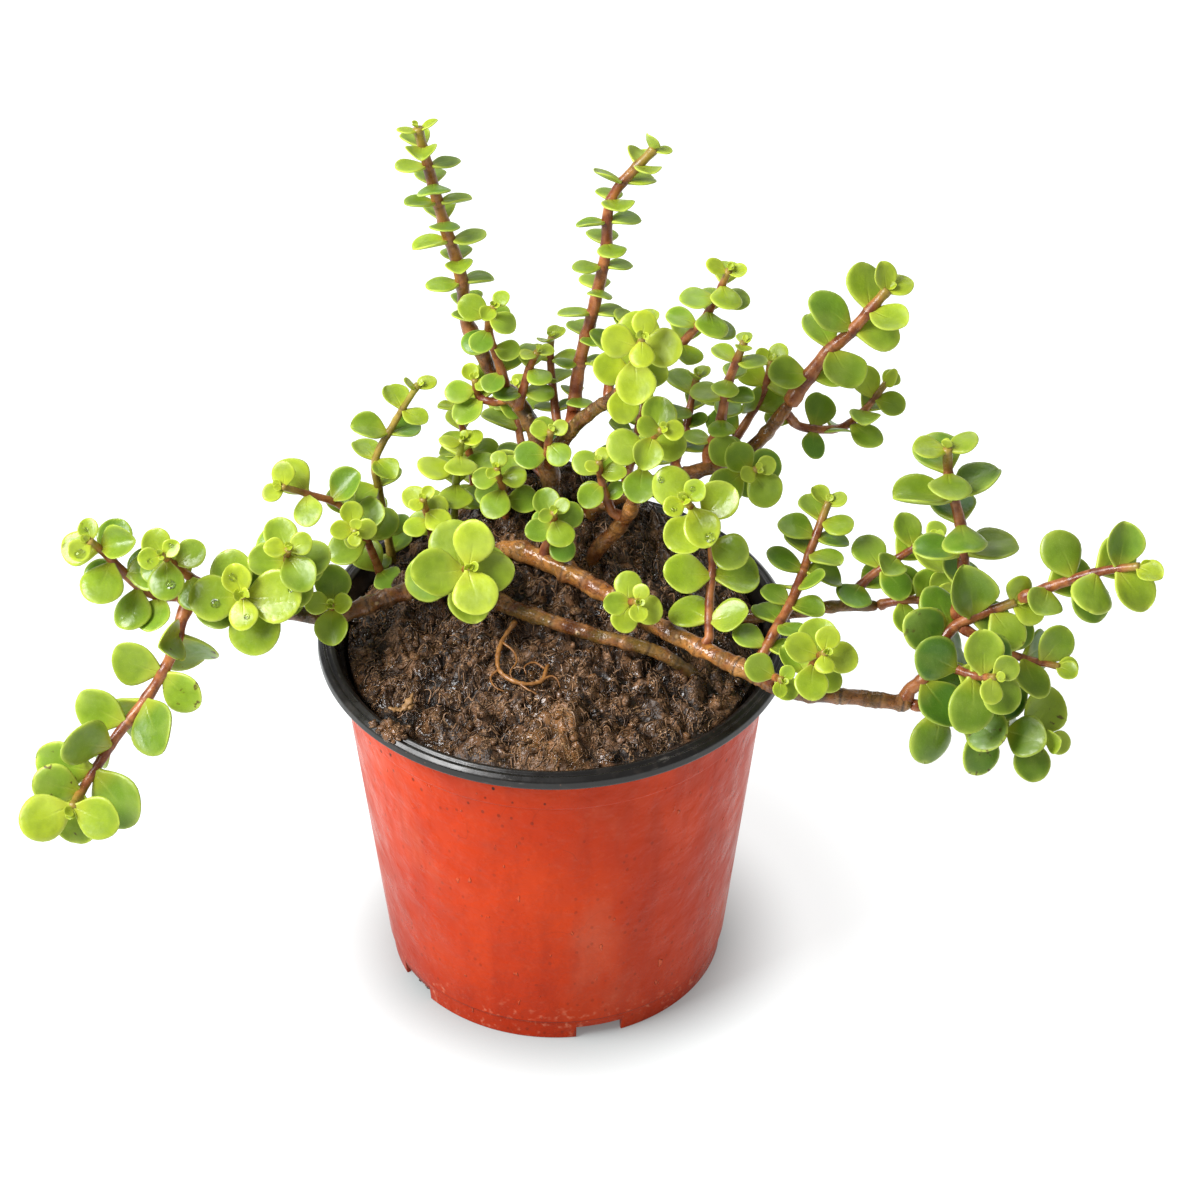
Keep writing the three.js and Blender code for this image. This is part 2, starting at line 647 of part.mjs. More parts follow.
const holeExtra = 3 * GAP;
const holes = [rootLimb(deepened(ROOT_PATH), holeExtra)];
for (const part of Object.values(WOOD).flat()) {
  holes.push(woodLimb({ ...part, path: deepened(part.path) }, { swelling: 0, extra: holeExtra }));
}
for (const shoot of Object.values(SHOOTS)) {
  holes.push(shootStem({ ...shoot, path: deepened(shoot.path) }, holeExtra));
}
const soil = holes.reduce((body, hole) => body.subtract(hole), soilBody());
addPiece("soil", soil, peat);

// Everything that a leaf has to keep clear of
const obstacles = [soil, innerLayer, outerLayer];

for (const [name, limbs] of Object.entries(WOOD)) {
  const stem = fuse(limbs.map((part) => woodLimb(part)));
  addPiece(name, stem, bark);
  obstacles.push(stem);
}
const root = rootLimb();
addPiece("root_loop", root, rootSkin);
obstacles.push(root);

// Leaves: opposite pairs, each pair a quarter turn round from the last, on a stem of their own

function shootRadius(shoot, share) {
  return (shoot.girth ?? SHOOT_GIRTH) * THREE.MathUtils.lerp(1, SHOOT_TIP, share);
}

// The place of a pair on its shoot: a share of the route, its rank from the tip, and how grown it is
function pairPlace(shoot, route, pair) {
  const length = route.getLength();
  const fromTip = shoot.pairs - 1 - pair;
  const first = (shoot.bare ?? FIRST_PAIR_HEIGHT) / length;
  const last = 1 - NODE_HEIGHT / length;
  const share = first + (last - first) * (pair / (shoot.pairs - 1)) ** PAIR_CROWDING;
  const tipSizes = [shoot.tip ?? TIP_SIZE, SECOND_SIZE];
  const grown = tipSizes[fromTip] ?? THREE.MathUtils.lerp(FOOT_SIZE, 1, share);
  return { share, fromTip, grown };
}

// The direction in which a turn of nought points: to the right, or upwards on a shoot that runs sideways
function turnReference(shoot) {
  const [first, last] = [shoot.path[0], shoot.path.at(-1)].map((point) => new THREE.Vector3(...point));
  const chord = last.sub(first).normalize();
  return Math.abs(chord.x) < SIDEWAYS_SHARE ? new THREE.Vector3(1, 0, 0) : new THREE.Vector3(0, 0, 1);
}

function frameAt(shoot, route, share) {
  const tangent = route.getTangentAt(share);
  const reference = turnReference(shoot);
  const right = reference.addScaledVector(tangent, -reference.dot(tangent)).normalize();
  const up = new THREE.Vector3().crossVectors(tangent, right);
  const outward = (degrees) => {
    const angle = THREE.MathUtils.degToRad(degrees);
    return right.clone().multiplyScalar(Math.cos(angle)).addScaledVector(up, Math.sin(angle));
  };
  return { centre: route.getPointAt(share), tangent, outward };
}

function placeLeaf(shoot, route, place, side, draws, bend) {
  const { centre, tangent, outward } = frameAt(shoot, route, place.share);
  const turn = shoot.turn + 90 * place.fromTip + 180 * side + (draws[0] - 0.5) * TURN_SPREAD + bend.turn;
  const leanByAge = TIP_LEANS[place.fromTip] ?? LEAF_LEAN;
  const lean = THREE.MathUtils.degToRad(leanByAge + (draws[1] - 0.5) * LEAN_SPREAD + bend.lean);
  const direction = outward(turn).multiplyScalar(Math.cos(lean)).addScaledVector(tangent, Math.sin(lean));
  const tilt = THREE.MathUtils.degToRad(shoot.tilt ?? LEAF_TILT);
  const light = new THREE.Vector3(0, -Math.sin(tilt), Math.cos(tilt));
  direction.addScaledVector(light, -LEVELLING * direction.dot(light)).normalize();
  const facing = (vector) => vector.clone().addScaledVector(direction, -vector.dot(direction)).normalize();
  const normal = facing(tangent).lerp(facing(light), LIGHT_PULL).normalize();
  const length = shoot.leaf * place.grown * (1 + (draws[2] - 0.5) * SIZE_SPREAD) * bend.size;
  const curl = (draws[3] - 0.5) * 2 * LEAF_CURL;
  const stemRadius = shootRadius(shoot, place.share);
  const neck = (stemRadius + NECK_LENGTH) / direction.clone().cross(tangent).length();
  return { centre, direction, normal, length, curl, stemRadius, neck };
}

// A leaf's rim from the root round the tip and back, and the middle of its upper and lower face
function leafPoints(leaf) {
  const across = new THREE.Vector3().crossVectors(leaf.normal, leaf.direction);
  const spot = (along, side, rise) => leaf.centre.clone()
    .addScaledVector(leaf.direction, along * leaf.length)
    .addScaledVector(across, side * leaf.length)
    .addScaledVector(leaf.normal, (rise + leaf.curl * along * along) * leaf.length)
    .toArray();
  const start = leaf.neck / leaf.length;
  const half = (leaf.stemRadius * NECK_WIDTH) / leaf.length;
  const lift = NODE_HEIGHT / 2 / leaf.length;
  const outline = leaf.length > SMALL_LEAF ? LEAF_OUTLINE : SMALL_LEAF_OUTLINE;
  return {
    low: [spot(start, -half, -lift), spot(start, half, -lift)],
    high: [spot(start, -half, lift), spot(start, half, lift)],
    rim: [
      ...outline.map(([along, width]) => spot(along, -width, 0)),
      spot(1, 0, 0),
      ...outline.toReversed().map(([along, width]) => spot(along, width, 0)),
    ],
    above: spot(LEAF_MIDDLE, 0, LEAF_THICKNESS / 2),
    below: spot(LEAF_MIDDLE, 0, -LEAF_THICKNESS / 2),
  };
}

// The faces of a leaf that grows out of the facet between two low and two high corners
function leafFaces({ low, high, rim, above, below }) {
  const upper = [high[0], ...rim, high[1]];
  const lower = [low[0], ...rim, low[1]];
  return [
    ...upper.map((point, spot) => [above, point, upper[(spot + 1) % upper.length]]),
    ...lower.map((point, spot) => [below, lower[(spot + 1) % lower.length], point]),
    [low[0], rim[0], high[0]],
    [high[1], rim.at(-1), low[1]],
  ];
}

// The blade of a leaf as a solid of its own, to test whether it is clear of what is near
function bladeSolid(leaf) {
  const points = [];
  const add = (point) => points.push(point) - 1;
  const { low, high, rim, above, below } = leafPoints(leaf);
  const corners = {
    low: low.map(add), high: high.map(add), rim: rim.map(add), above: add(above), below: add(below),
  };
  const { low: [lowLeft, lowRight], high: [highLeft, highRight] } = corners;
  const cap = [[highLeft, highRight, lowRight], [highLeft, lowRight, lowLeft]];
  return toSolid(meshFromFaces(points, [...leafFaces(corners), ...cap]));
}

function boxesMeet(one, other) {
  return [0, 1, 2].every((axis) => one.min[axis] < other.max[axis] + LEAF_CLEARANCE
    && other.min[axis] < one.max[axis] + LEAF_CLEARANCE);
}

function isClear(solid, neighbours, distance) {
  const box = solid.boundingBox();
  return neighbours.every((neighbour) => !boxesMeet(box, neighbour.boundingBox())
    || solid.minGap(neighbour, distance) >= distance);
}

const stems = Object.fromEntries(Object.entries(SHOOTS).map(([name, shoot]) => [name, shootStem(shoot)]));
const blades = [];

// Each leaf takes the first bend that keeps it clear, and is left out where none does
function growLeaves(name, shoot, route, draw) {
  const otherStems = Object.entries(stems).filter(([other]) => other !== name).map(([, stem]) => stem);
  const leaves = [];
  for (let pair = 0; pair < shoot.pairs; pair += 1) {
    const place = pairPlace(shoot, route, pair);
    for (const side of [0, 1]) {
      const draws = [draw(), draw(), draw(), draw()];
      for (const bend of LEAF_BENDS) {
        const leaf = placeLeaf(shoot, route, place, side, draws, bend);
        const blade = bladeSolid(leaf);
        const clear = isClear(blade, [...obstacles, ...otherStems, ...blades], LEAF_CLEARANCE)
          && isClear(blade, [stems[name]], STEM_CLEARANCE);
        if (clear) {
          blades.push(blade);
          leaves.push({ ...leafPoints(leaf), pair, facet: (place.fromTip + 2 * side) % SHOOT_SIDES });
          break;
        }
      }
    }
  }
  return leaves;
}

// Rings of four corners: one pair of rings at each node, and more where the route is long between nodes
function shootRings(shoot, route) {
  const length = route.getLength();
  const half = NODE_HEIGHT / 2 / length;
  const rings = [{ share: 0 }];
  for (let pair = 0; pair < shoot.pairs; pair += 1) {
    const { share } = pairPlace(shoot, route, pair);
    const start = rings.at(-1).share;
    const fill = Math.floor(((share - start) * length) / SHOOT_STEP);
    for (let index = 1; index <= fill; index += 1) {
      rings.push({ share: start + ((share - half - start) * index) / (fill + 1) });
    }
    rings.push({ share: share - half, pair }, { share: share + half });
  }
  return rings;
}

// A shoot is one skin: a four-sided stem on which each leaf grows out of a facet between two rings
function shootSolid(shoot, route, leaves) {
  const rings = shootRings(shoot, route);
  const points = [];
  const faces = [];
  const corner = (ring, index) => ring * SHOOT_SIDES + (index % SHOOT_SIDES);
  for (const { share } of rings) {
    const { centre, outward } = frameAt(shoot, route, share);
    for (let side = 0; side < SHOOT_SIDES; side += 1) {
      const edge = outward(shoot.turn + 45 + 90 * side).multiplyScalar(shootRadius(shoot, share));
      points.push(edge.add(centre).toArray());
    }
  }
  const add = (point) => points.push(point) - 1;
  rings.slice(0, -1).forEach((ring, index) => {
    for (let facet = 0; facet < SHOOT_SIDES; facet += 1) {
      const before = facet + SHOOT_SIDES - 1;
      const low = [corner(index, before), corner(index, facet)];
      const high = [corner(index + 1, before), corner(index + 1, facet)];
      const leaf = leaves.find((grown) => grown.pair === ring.pair && grown.facet === facet);
      if (leaf === undefined) {
        faces.push([low[0], low[1], high[1]], [low[0], high[1], high[0]]);
        continue;
      }
      faces.push(...leafFaces({
        low, high, rim: leaf.rim.map(add), above: add(leaf.above), below: add(leaf.below),
      }));
    }
  });
  const top = rings.length - 1;
  const tip = frameAt(shoot, route, 1);
  const bud = add(tip.centre.addScaledVector(tip.tangent, BUD_HEIGHT).toArray());
  for (let side = 0; side < SHOOT_SIDES; side += 1) {
    faces.push([corner(top, side), corner(top, side + 1), bud]);
  }
  faces.push([0, 3, 2], [0, 2, 1]);
  return toSolid(meshFromFaces(points, faces));
}

const leafDraw = makeDraw(SEED);
for (const [name, shoot] of Object.entries(SHOOTS)) {
  const route = routeOf(shoot.path);
  addPiece(name, shootSolid(shoot, route, growLeaves(name, shoot, route, leafDraw)), foliage);
}

export default plant;
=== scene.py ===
import math
from typing import NamedTuple

import bpy
import numpy as np
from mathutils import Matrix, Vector, noise
from mathutils.kdtree import KDTree


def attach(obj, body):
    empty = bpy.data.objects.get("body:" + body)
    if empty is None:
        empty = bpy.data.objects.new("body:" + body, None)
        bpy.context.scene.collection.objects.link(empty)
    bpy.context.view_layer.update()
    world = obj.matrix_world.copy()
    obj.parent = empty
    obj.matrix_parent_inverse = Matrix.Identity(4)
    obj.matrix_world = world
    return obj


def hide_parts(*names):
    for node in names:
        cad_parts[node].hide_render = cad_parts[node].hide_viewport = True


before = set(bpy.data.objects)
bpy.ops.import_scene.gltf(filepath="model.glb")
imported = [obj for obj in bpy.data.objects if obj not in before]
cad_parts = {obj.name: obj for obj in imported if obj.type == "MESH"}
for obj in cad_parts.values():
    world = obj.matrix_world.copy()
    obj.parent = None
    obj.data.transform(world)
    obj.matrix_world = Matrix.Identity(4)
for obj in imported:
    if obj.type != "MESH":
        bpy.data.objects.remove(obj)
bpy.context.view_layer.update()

# Shapes are worked out in millimetres, as the solids are, and become metres when a mesh is made
MM = 0.001
SEED = 4207
DRAW_FACTOR = 16807
DRAW_LIMIT = 2147483647


# Colours and node materials

def colour(code):
    """A linear colour from the six hexadecimal digits of a display colour."""
    shares = [int(code[start:start + 2], 16) / 255 for start in (0, 2, 4)]
    linear = [share / 12.92 if share <= 0.04045 else ((share + 0.055) / 1.055) ** 2.4 for share in shares]
    return (*linear, 1)


class Nodes:
    """The node tree of one material. A value is a number, a colour code or another node's output."""

    def __init__(self, name):
        self.material = bpy.data.materials.new(name)
        self.material.use_nodes = True
        self.tree = self.material.node_tree
        self.shader = self.tree.nodes["Principled BSDF"]
        self.place = self.add("TexCoord").outputs["Object"]
        self.base = None

    def add(self, kind, *values, **settings):
        """A new node with these settings, and values for its first inputs."""
        node = self.tree.nodes.new("ShaderNode" + kind)
        for name, value in settings.items():
            setattr(node, name, value)
        for socket, value in zip([socket for socket in node.inputs if socket.enabled], values):
            self.feed(socket, value)
        return node

    def feed(self, socket, value):
        if isinstance(value, bpy.types.NodeSocket):
            self.tree.links.new(value, socket)
        else:
            socket.default_value = colour(value) if isinstance(value, str) else value

    def fill(self, node, **inputs):
        """Feeds a node's inputs by name, such as base_color for Base Color."""
        for name, value in inputs.items():
            self.feed(node.inputs[name.replace("_", " ").title().replace("Ior", "IOR")], value)

    def math(self, operation, first, second=0.0):
        return self.add("Math", first, second, operation=operation).outputs[0]

    def off(self, value, middle):
        """How far a value is from a middle."""
        return self.math("ABSOLUTE", self.math("SUBTRACT", value, middle))

    def product(self, first, *others):
        for other in others:
            first = self.math("MULTIPLY", first, other)
        return first

    def mix(self, share, first, second):
        node = self.add("Mix", share, first, second, data_type="RGBA")
        return next(socket for socket in node.outputs if socket.enabled)

    def paint(self, share, over, strength=1):
        """Lays a colour over the base colour so far, by a share times a strength."""
        self.base = self.mix(self.product(share, strength), self.base, over)

    def rise(self, value, start, end, low=0.0, high=1.0):
        """low where value is under start, high where it is over end, and a smooth step between them."""
        return self.add("MapRange", value, start, end, low, high, interpolation_type="SMOOTHSTEP").outputs[0]

    def fall(self, value, start, end):
        return self.rise(value, start, end, 1.0, 0.0)

    def texture(self, kind, z_scale, **inputs):
        """A texture over the part. z_scale under 1 makes its marks taller, over 1 flatter."""
        place = self.add("VectorMath", self.place, (1, 1, z_scale), operation="MULTIPLY").outputs[0]
        node = self.add("Tex" + kind)
        self.fill(node, vector=place, **inputs)
        return node.outputs[0]

    def noise(self, scale, detail, z_scale=1, distortion=0.0):
        return self.texture("Noise", z_scale, scale=scale, detail=detail, distortion=distortion)

    def cloud(self, scale, detail, start, end, low=0.0, high=1.0, z_scale=1):
        """Soft patches of noise, from low to high."""
        return self.rise(self.noise(scale, detail, z_scale), start, end, low, high)

    def strands(self, scale, width):
        """Thin curling lines: 1 on the line where a swirling noise passes its middle, 0 away from it."""
        return self.fall(self.off(self.noise(scale, 2, distortion=1.6), 0.5), 0.0, width)

    def cells(self, scale, z_scale=1):
        """The distance to the nearest of many scattered spots."""
        return self.texture("Voronoi", z_scale, scale=scale)

    def attribute(self, name):
        return self.split(self.add("Attribute", attribute_name=name).outputs["Vector"])

    def split(self, vector):
        return list(self.add("SeparateXYZ", vector).outputs)

    def bump(self, height, distance):
        """Raises the surface by height, which runs from 0 to 1, times distance in millimetres."""
        node = self.add("Bump")
        self.fill(node, height=height, distance=distance * MM, strength=1.0)
        normal = self.shader.inputs["Normal"]
        if normal.is_linked:
            self.fill(node, normal=normal.links[0].from_socket)
        self.feed(normal, node.outputs[0])

    def finish(self, **inputs):
        """Gives the shader its base colour and these inputs, and returns the material."""
        self.fill(self.shader, base_color=self.base, **inputs)
        return self.material


def leaf_material():
    """Waxy leaf: deep green when old, yellow-green when young, with a thin pale margin."""
    nodes = Nodes("leaf")
    along, across, edge = nodes.attribute("blade")
    youth, chance, underside = nodes.attribute("growth")
    depth, spots, wet = nodes.attribute("state")
    nodes.base = nodes.mix(chance, "4f7a1c", "86ad34")
    # Painted shade: a shoot's deep value darkens all of its leaves
    nodes.paint(depth, "356019")
    nodes.paint(youth, "bccb30")
    nodes.paint(nodes.cloud(210, 5, 0.35, 0.68), "35540c", 0.25)
    nodes.paint(nodes.cloud(80, 2, 0.45, 0.7), "c0cc66", 0.225)
    outer = nodes.product(nodes.rise(along, 0.35, 0.85), nodes.rise(edge, 0.0, 0.6, 1.0, 0.4))
    nodes.paint(outer, "2f5212", 0.1)
    heart = nodes.product(nodes.fall(edge, 0.1, 0.75), nodes.rise(along, 0.15, 0.5))
    nodes.paint(heart, "3f6f16", 0.21)
    nodes.paint(nodes.fall(nodes.cells(2400), 0.05, 0.28), "c9d982", 0.2)
    nodes.paint(nodes.fall(along, 0.08, 0.4), "a9ad2e", 0.6)
    nodes.paint(underside, "9aa850", 0.4)
    margin = nodes.math("POWER", nodes.rise(edge, 0.5, 0.98), 1.6)
    nodes.paint(nodes.product(margin, nodes.rise(chance, 0.0, 1.0, 0.35, 0.72)), "c3d254")
    rib = nodes.product(nodes.fall(nodes.off(across, 0), 0.0, 0.1), nodes.fall(along, 0.15, 0.7))
    nodes.paint(rib, "b5c254", 0.25)
    scabs = nodes.product(spots, nodes.rise(chance, 0.55, 0.62), nodes.cloud(330, 3, 0.62, 0.68))
    nodes.paint(scabs, "4f2f14", 0.85)
    nodes.bump(nodes.noise(900, 3), 0.06)
    nodes.bump(rib, -0.1)
    nodes.bump(nodes.noise(190, 2), 0.4)
    gloss = nodes.math("SUBTRACT", nodes.cloud(380, 3, 0.3, 0.7, 0.28, 0.44), nodes.product(wet, 0.1))
    return nodes.finish(roughness=gloss, specular_ior_level=0.36, subsurface_weight=0.12,
                        subsurface_radius=(0.9, 1.0, 0.15), subsurface_scale=0.0012)


def bark_material():
    """Glossy bark, from dark brown to tan, with dark ring scars, paler swellings and olive patches."""
    nodes = Nodes("bark")
    scar, tone, olive = nodes.attribute("bark")
    patch = nodes.cloud(150, 4, 0.38, 0.62)
    nodes.base = nodes.mix(tone, nodes.mix(patch, "2a1408", "74441f"), nodes.mix(patch, "7e4318", "bd7f3e"))
    nodes.paint(nodes.attribute("swelling")[0], "c99560", 0.4)
    nodes.paint(nodes.cloud(700, 4, 0.46, 0.64), "2a1408", 0.3)
    wrinkle = nodes.strands(260, 0.03)
    nodes.paint(wrinkle, "33190a", 0.4)
    nodes.paint(nodes.product(olive, nodes.cloud(130, 3, 0.45, 0.58)), "76702f", 0.7)
    spot = nodes.cells(170)
    nodes.paint(nodes.fall(spot, 0.1, 0.17), "dcbb88", 0.45)
    nodes.paint(nodes.fall(spot, 0.03, 0.07), "20120a", 0.9)
    nodes.paint(scar, "241107", 0.9)
    nodes.bump(nodes.fall(spot, 0.02, 0.2), 0.35)
    nodes.bump(wrinkle, -0.12)
    nodes.bump(nodes.noise(300, 3), 0.7)
    return nodes.finish(roughness=nodes.cloud(200, 3, 0.4, 0.6, 0.14, 0.36))


def twig_material():
    """Young stem: brown, fresher towards its tip, with a thin dark ring at each pair of leaves."""
    nodes = Nodes("twig")
    scar, youth, green = nodes.attribute("bark")
    patch = nodes.cloud(210, 3, 0.35, 0.65)
    nodes.base = nodes.mix(patch, "74371a", "ab6a3a")
    nodes.paint(nodes.rise(youth, 0.82, 1.0), "a2903a", 0.8)
    nodes.paint(green, nodes.mix(patch, "8f9a34", "b4bd4c"))
    nodes.paint(scar, "4a2a14", 0.55)
    nodes.paint(nodes.fall(nodes.cells(900), 0.05, 0.22), "c9a876", 0.35)
    nodes.bump(nodes.noise(1400, 3), 0.1)
    nodes.bump(nodes.noise(330, 2), 0.3)
    return nodes.finish(roughness=nodes.cloud(400, 3, 0.3, 0.7, 0.22, 0.44))


def soil_material():
    """Wet dark peat: clods felted with curling strands, paler on one clod, with glints, and painted shade in
    its pits, in the gaps between its lumps and in one hollow.
    """
    nodes = Nodes("soil")
    painted_shade_and_darkness, pale, _ = nodes.attribute("peat")
    region = nodes.cloud(38, 3, 0.4, 0.6)
    dark = nodes.mix(region, "1c0f06", "34200f")
    nodes.base = nodes.mix(nodes.cloud(105, 4, 0.4, 0.6), dark, nodes.mix(region, "65452c", "8f6847"))
    fine = nodes.strands(270, 0.04)
    coarse = nodes.strands(125, 0.022)
    nodes.paint(fine, "b5875f", 0.75)
    nodes.paint(coarse, "d0a478", 0.95)
    # Painted shade: the pits of the noise are painted near black, on the pale clump as well
    pit_shade = nodes.fall(nodes.noise(230, 4), 0.36, 0.48)
    nodes.paint(pit_shade, "0e0602", 0.85)
    felt = nodes.mix(fine, "85592f", "cda271")
    nodes.paint(pale, nodes.mix(nodes.product(pit_shade, 0.595), felt, "33200f"))
    # Painted shade: the relief's gaps and the shaded hollow are painted near black; on crumbs this channel
    # is a darker tone of their own
    nodes.paint(painted_shade_and_darkness, "0a0401")
    nodes.bump(fine, 1.2)
    nodes.bump(coarse, 2.0)
    nodes.bump(nodes.noise(800, 3), 0.25)
    nodes.bump(nodes.noise(260, 3), 1.6)
    return nodes.finish(roughness=nodes.cloud(150, 3, 0.42, 0.56, 0.1, 0.5))


def fibre_material(name, dark, light, roughness):
    """Thin dead stuff: each thread has its own tone between dark and light."""
    nodes = Nodes(name)
    nodes.base = nodes.mix(nodes.attribute("bark")[2], dark, light)
    nodes.paint(nodes.cloud(700, 3, 0.35, 0.65), dark, 0.5)
    nodes.bump(nodes.noise(2200, 2), 0.08)
    return nodes.finish(roughness=nodes.cloud(900, 2, 0.3, 0.7, roughness, roughness + 0.25))


def water_material():
    nodes = Nodes("water")
    nodes.base = nodes.mix(nodes.noise(300, 1), "f4f8f0", "ffffff")
    return nodes.finish(roughness=0.02, ior=1.33, transmission_weight=1.0)


def red_plastic_material():
    """Moulded orange-red plastic: cloudy, streaked and blistered, duller and scuffed near the foot, with
    painted shade towards the foot, painted highlights on its blisters and a painted shade line along the
    foot's step.
    """
    nodes = Nodes("red_plastic")
    height = nodes.split(nodes.place)[2]
    nodes.base = nodes.mix(nodes.cloud(26, 3, 0.34, 0.66), "b63108", "c63c0d")
    # Painted shade: the plastic darkens towards the foot
    nodes.paint(nodes.fall(height, 0.0, 0.1), "7c1a08", 0.279)
    nodes.paint(nodes.cloud(120, 3, 0.45, 0.7, z_scale=0.08), "9a2608", 0.38)
    nodes.paint(nodes.cloud(70, 4, 0.5, 0.68, z_scale=0.55), "a53211", 0.3)
    nodes.paint(nodes.cloud(45, 4, 0.54, 0.76, z_scale=0.4), "d98a6a", 0.16)
    near_foot = nodes.rise(height, 0.004, 0.02, 0.6, 0.05)
    nodes.paint(nodes.product(nodes.cloud(420, 4, 0.55, 0.75), near_foot), "dc8a6c")
    blister_and_highlight = nodes.cloud(310, 2, 0.71, 0.76, z_scale=0.5)
    # Painted highlight: the raised blisters are painted paler
    nodes.paint(blister_and_highlight, "e0714a", 0.35)
    nodes.paint(nodes.product(nodes.strands(22, 0.004), nodes.cloud(60, 3, 0.5, 0.62)), "8a2a12", 0.4)
    near_rim = nodes.rise(height, 0.095, 0.118, 0.25, 1.0)
    dirt = nodes.product(nodes.fall(nodes.cells(260, 0.7), 0.1, 0.18), nodes.cloud(70, 2, 0.36, 0.46))
    nodes.paint(nodes.product(dirt, near_rim), "2a140b")
    # Painted shade: a thin dark line along the crease of the foot's step
    nodes.paint(nodes.fall(nodes.off(height, FOOT_STEP_SHADE_HEIGHT), 0.0002, 0.0007), "5e1608", 0.55)
    nodes.bump(blister_and_highlight, 0.5)
    nodes.bump(nodes.cloud(120, 3, 0.3, 0.7), 0.3)
    nodes.bump(nodes.noise(34, 2, z_scale=0.4), 0.8)
    return nodes.finish(roughness=nodes.cloud(90, 4, 0.3, 0.7, 0.24, 0.42), specular_ior_level=0.1)


def black_plastic_material():
    """Moulded black plastic with dust, soil specks and fine scuffs."""
    nodes = Nodes("black_plastic")
    nodes.base = nodes.mix(nodes.cloud(240, 5, 0.5, 0.74, 0.0, 0.14), "0f0c0a", "5c5148")
    grit = nodes.fall(nodes.cells(430), 0.06, 0.13)
    nodes.paint(nodes.product(grit, nodes.cloud(70, 2, 0.5, 0.58)), "5b4030")
    scuff = nodes.cloud(130, 3, 0.64, 0.7, z_scale=9)
    nodes.paint(nodes.product(scuff, nodes.cloud(50, 2, 0.48, 0.6)), "8b857d", 0.2)
    nodes.bump(nodes.noise(60, 3), 0.3)
    nodes.bump(nodes.noise(1200, 3), 0.03)
    return nodes.finish(roughness=nodes.cloud(140, 4, 0.3, 0.7, 0.24, 0.4))


def floor_material():
    """White table that glows as one lit from below does. Its glow is turned down under and round the pot, a
    painted shadow, and turned up further out, painted light that fades the plant's own shadow; its grey is a
    little cyan against the red light that the pot throws on it.
    """
    nodes = Nodes("floor")
    x, y, _ = nodes.split(nodes.place)
    x = nodes.math("SUBTRACT", x, 0.002)
    y = nodes.math("ADD", y, 0.005)
    away = nodes.math("SQRT", nodes.math("ADD", nodes.product(x, x), nodes.product(y, y)))
    nodes.base = nodes.mix(nodes.noise(4, 2), "8d9494", "919797")
    # Painted shadow: the glow is lowest round the pot's foot
    near = nodes.rise(away, 0.038, 0.085, 0.12, 0.8)
    # Painted light: more glow further off, which fades the plant's shadow there
    glow_with_painted_shadow = nodes.math("ADD", near, nodes.rise(away, 0.085, 0.12, 0.0, 0.12))
    return nodes.finish(roughness=0.9, emission_color="ffffff", emission_strength=glow_with_painted_shadow)


# Height of the painted shade line along the foot's step, in metres
FOOT_STEP_SHADE_HEIGHT = 0.0079
LEAF = leaf_material()
BARK = bark_material()
TWIG = twig_material()
SOIL = soil_material()
RED_PLASTIC = red_plastic_material()
BLACK_PLASTIC = black_plastic_material()
PEAT_FIBRE = fibre_material("peat_fibre", "2c1a0e", "a8815e", 0.2)
ROOT_SKIN = fibre_material("root_skin", "613617", "a57238", 0.18)
STRAW = fibre_material("straw", "5f4122", "a67d4a", 0.4)
WATER = water_material()


# Meshes

class Shape:
    """Points, faces and point attributes of one piece, gathered part by part."""

    def __init__(self):
        self.points = []
        self.faces = []
        self.values = {}
        self.count = 0

    def add(self, points, faces, **values):
        """Adds points and faces, with attributes that have a row for each point or one for all."""
        points = np.asarray(points, float).reshape(-1, 3)
        self.points.append(points)
        self.faces += [[index + self.count for index in face] for face in faces]
        for name, rows in values.items():
            rows = np.asarray(rows, float).reshape(-1, 3)
            self.values.setdefault(name, []).append(np.broadcast_to(rows, (len(points), 3)))
        self.count += len(points)


def add_object(name, data):
    added = bpy.data.objects.new(name, data)
    bpy.context.scene.collection.objects.link(added)
    return added


def add_mesh(name, shape, material):
    mesh = bpy.data.meshes.new(name)
    mesh.from_pydata((np.vstack(shape.points) * MM).tolist(), [], shape.faces)
    mesh.materials.append(material)
    return add_object(name, mesh)


def add_piece(name, shape, material, slot, *replaced):
    """One visible piece that rides on the root body and stands for the nodes it replaces."""
    piece = add_mesh(name, shape, material)
    piece.data.shade_smooth()
    for key, rows in shape.values.items():
        layer = piece.data.attributes.new(key, "FLOAT_VECTOR", "POINT")
        layer.data.foreach_set("vector", np.vstack(rows).astype(np.float32).ravel())
    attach(piece, "root")
    if replaced:
        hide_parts(*replaced)
    return piece


def turns(count):
    """Equal turns round a circle, in radians."""
    return np.arange(count) * 2 * math.pi / count


def on_circle(radius, angle, height=0):
    """A point round the middle of the pot, at an angle from its front."""
    return radius * math.sin(angle), -radius * math.cos(angle), height


def ring_faces(rings, sides):
    """Faces between rings of points, each with the same number of sides, closed at both ends."""
    faces = []
    last = (rings - 1) * sides
    for near in range(0, last, sides):
        for side in range(sides):
            here = near + side
            beside = near + (side + 1) % sides
            faces.append([here, beside, beside + sides, here + sides])
    return faces + [list(range(sides - 1, -1, -1)), list(range(last, last + sides))]


def unit(vectors):
    return vectors / np.linalg.norm(vectors, axis=-1, keepdims=True)


def tube_frames(centres):
    """Two directions across a tube at each centre, which turn as little as possible along it."""
    tangents = unit(np.gradient(centres, axis=0))
    rights = []
    right = np.cross(tangents[0], [0.31, 0.2, 0.93])
    for tangent in tangents:
        right = unit(right - tangent * right.dot(tangent))
        rights.append(right)
    return np.array(rights), np.cross(tangents, rights)


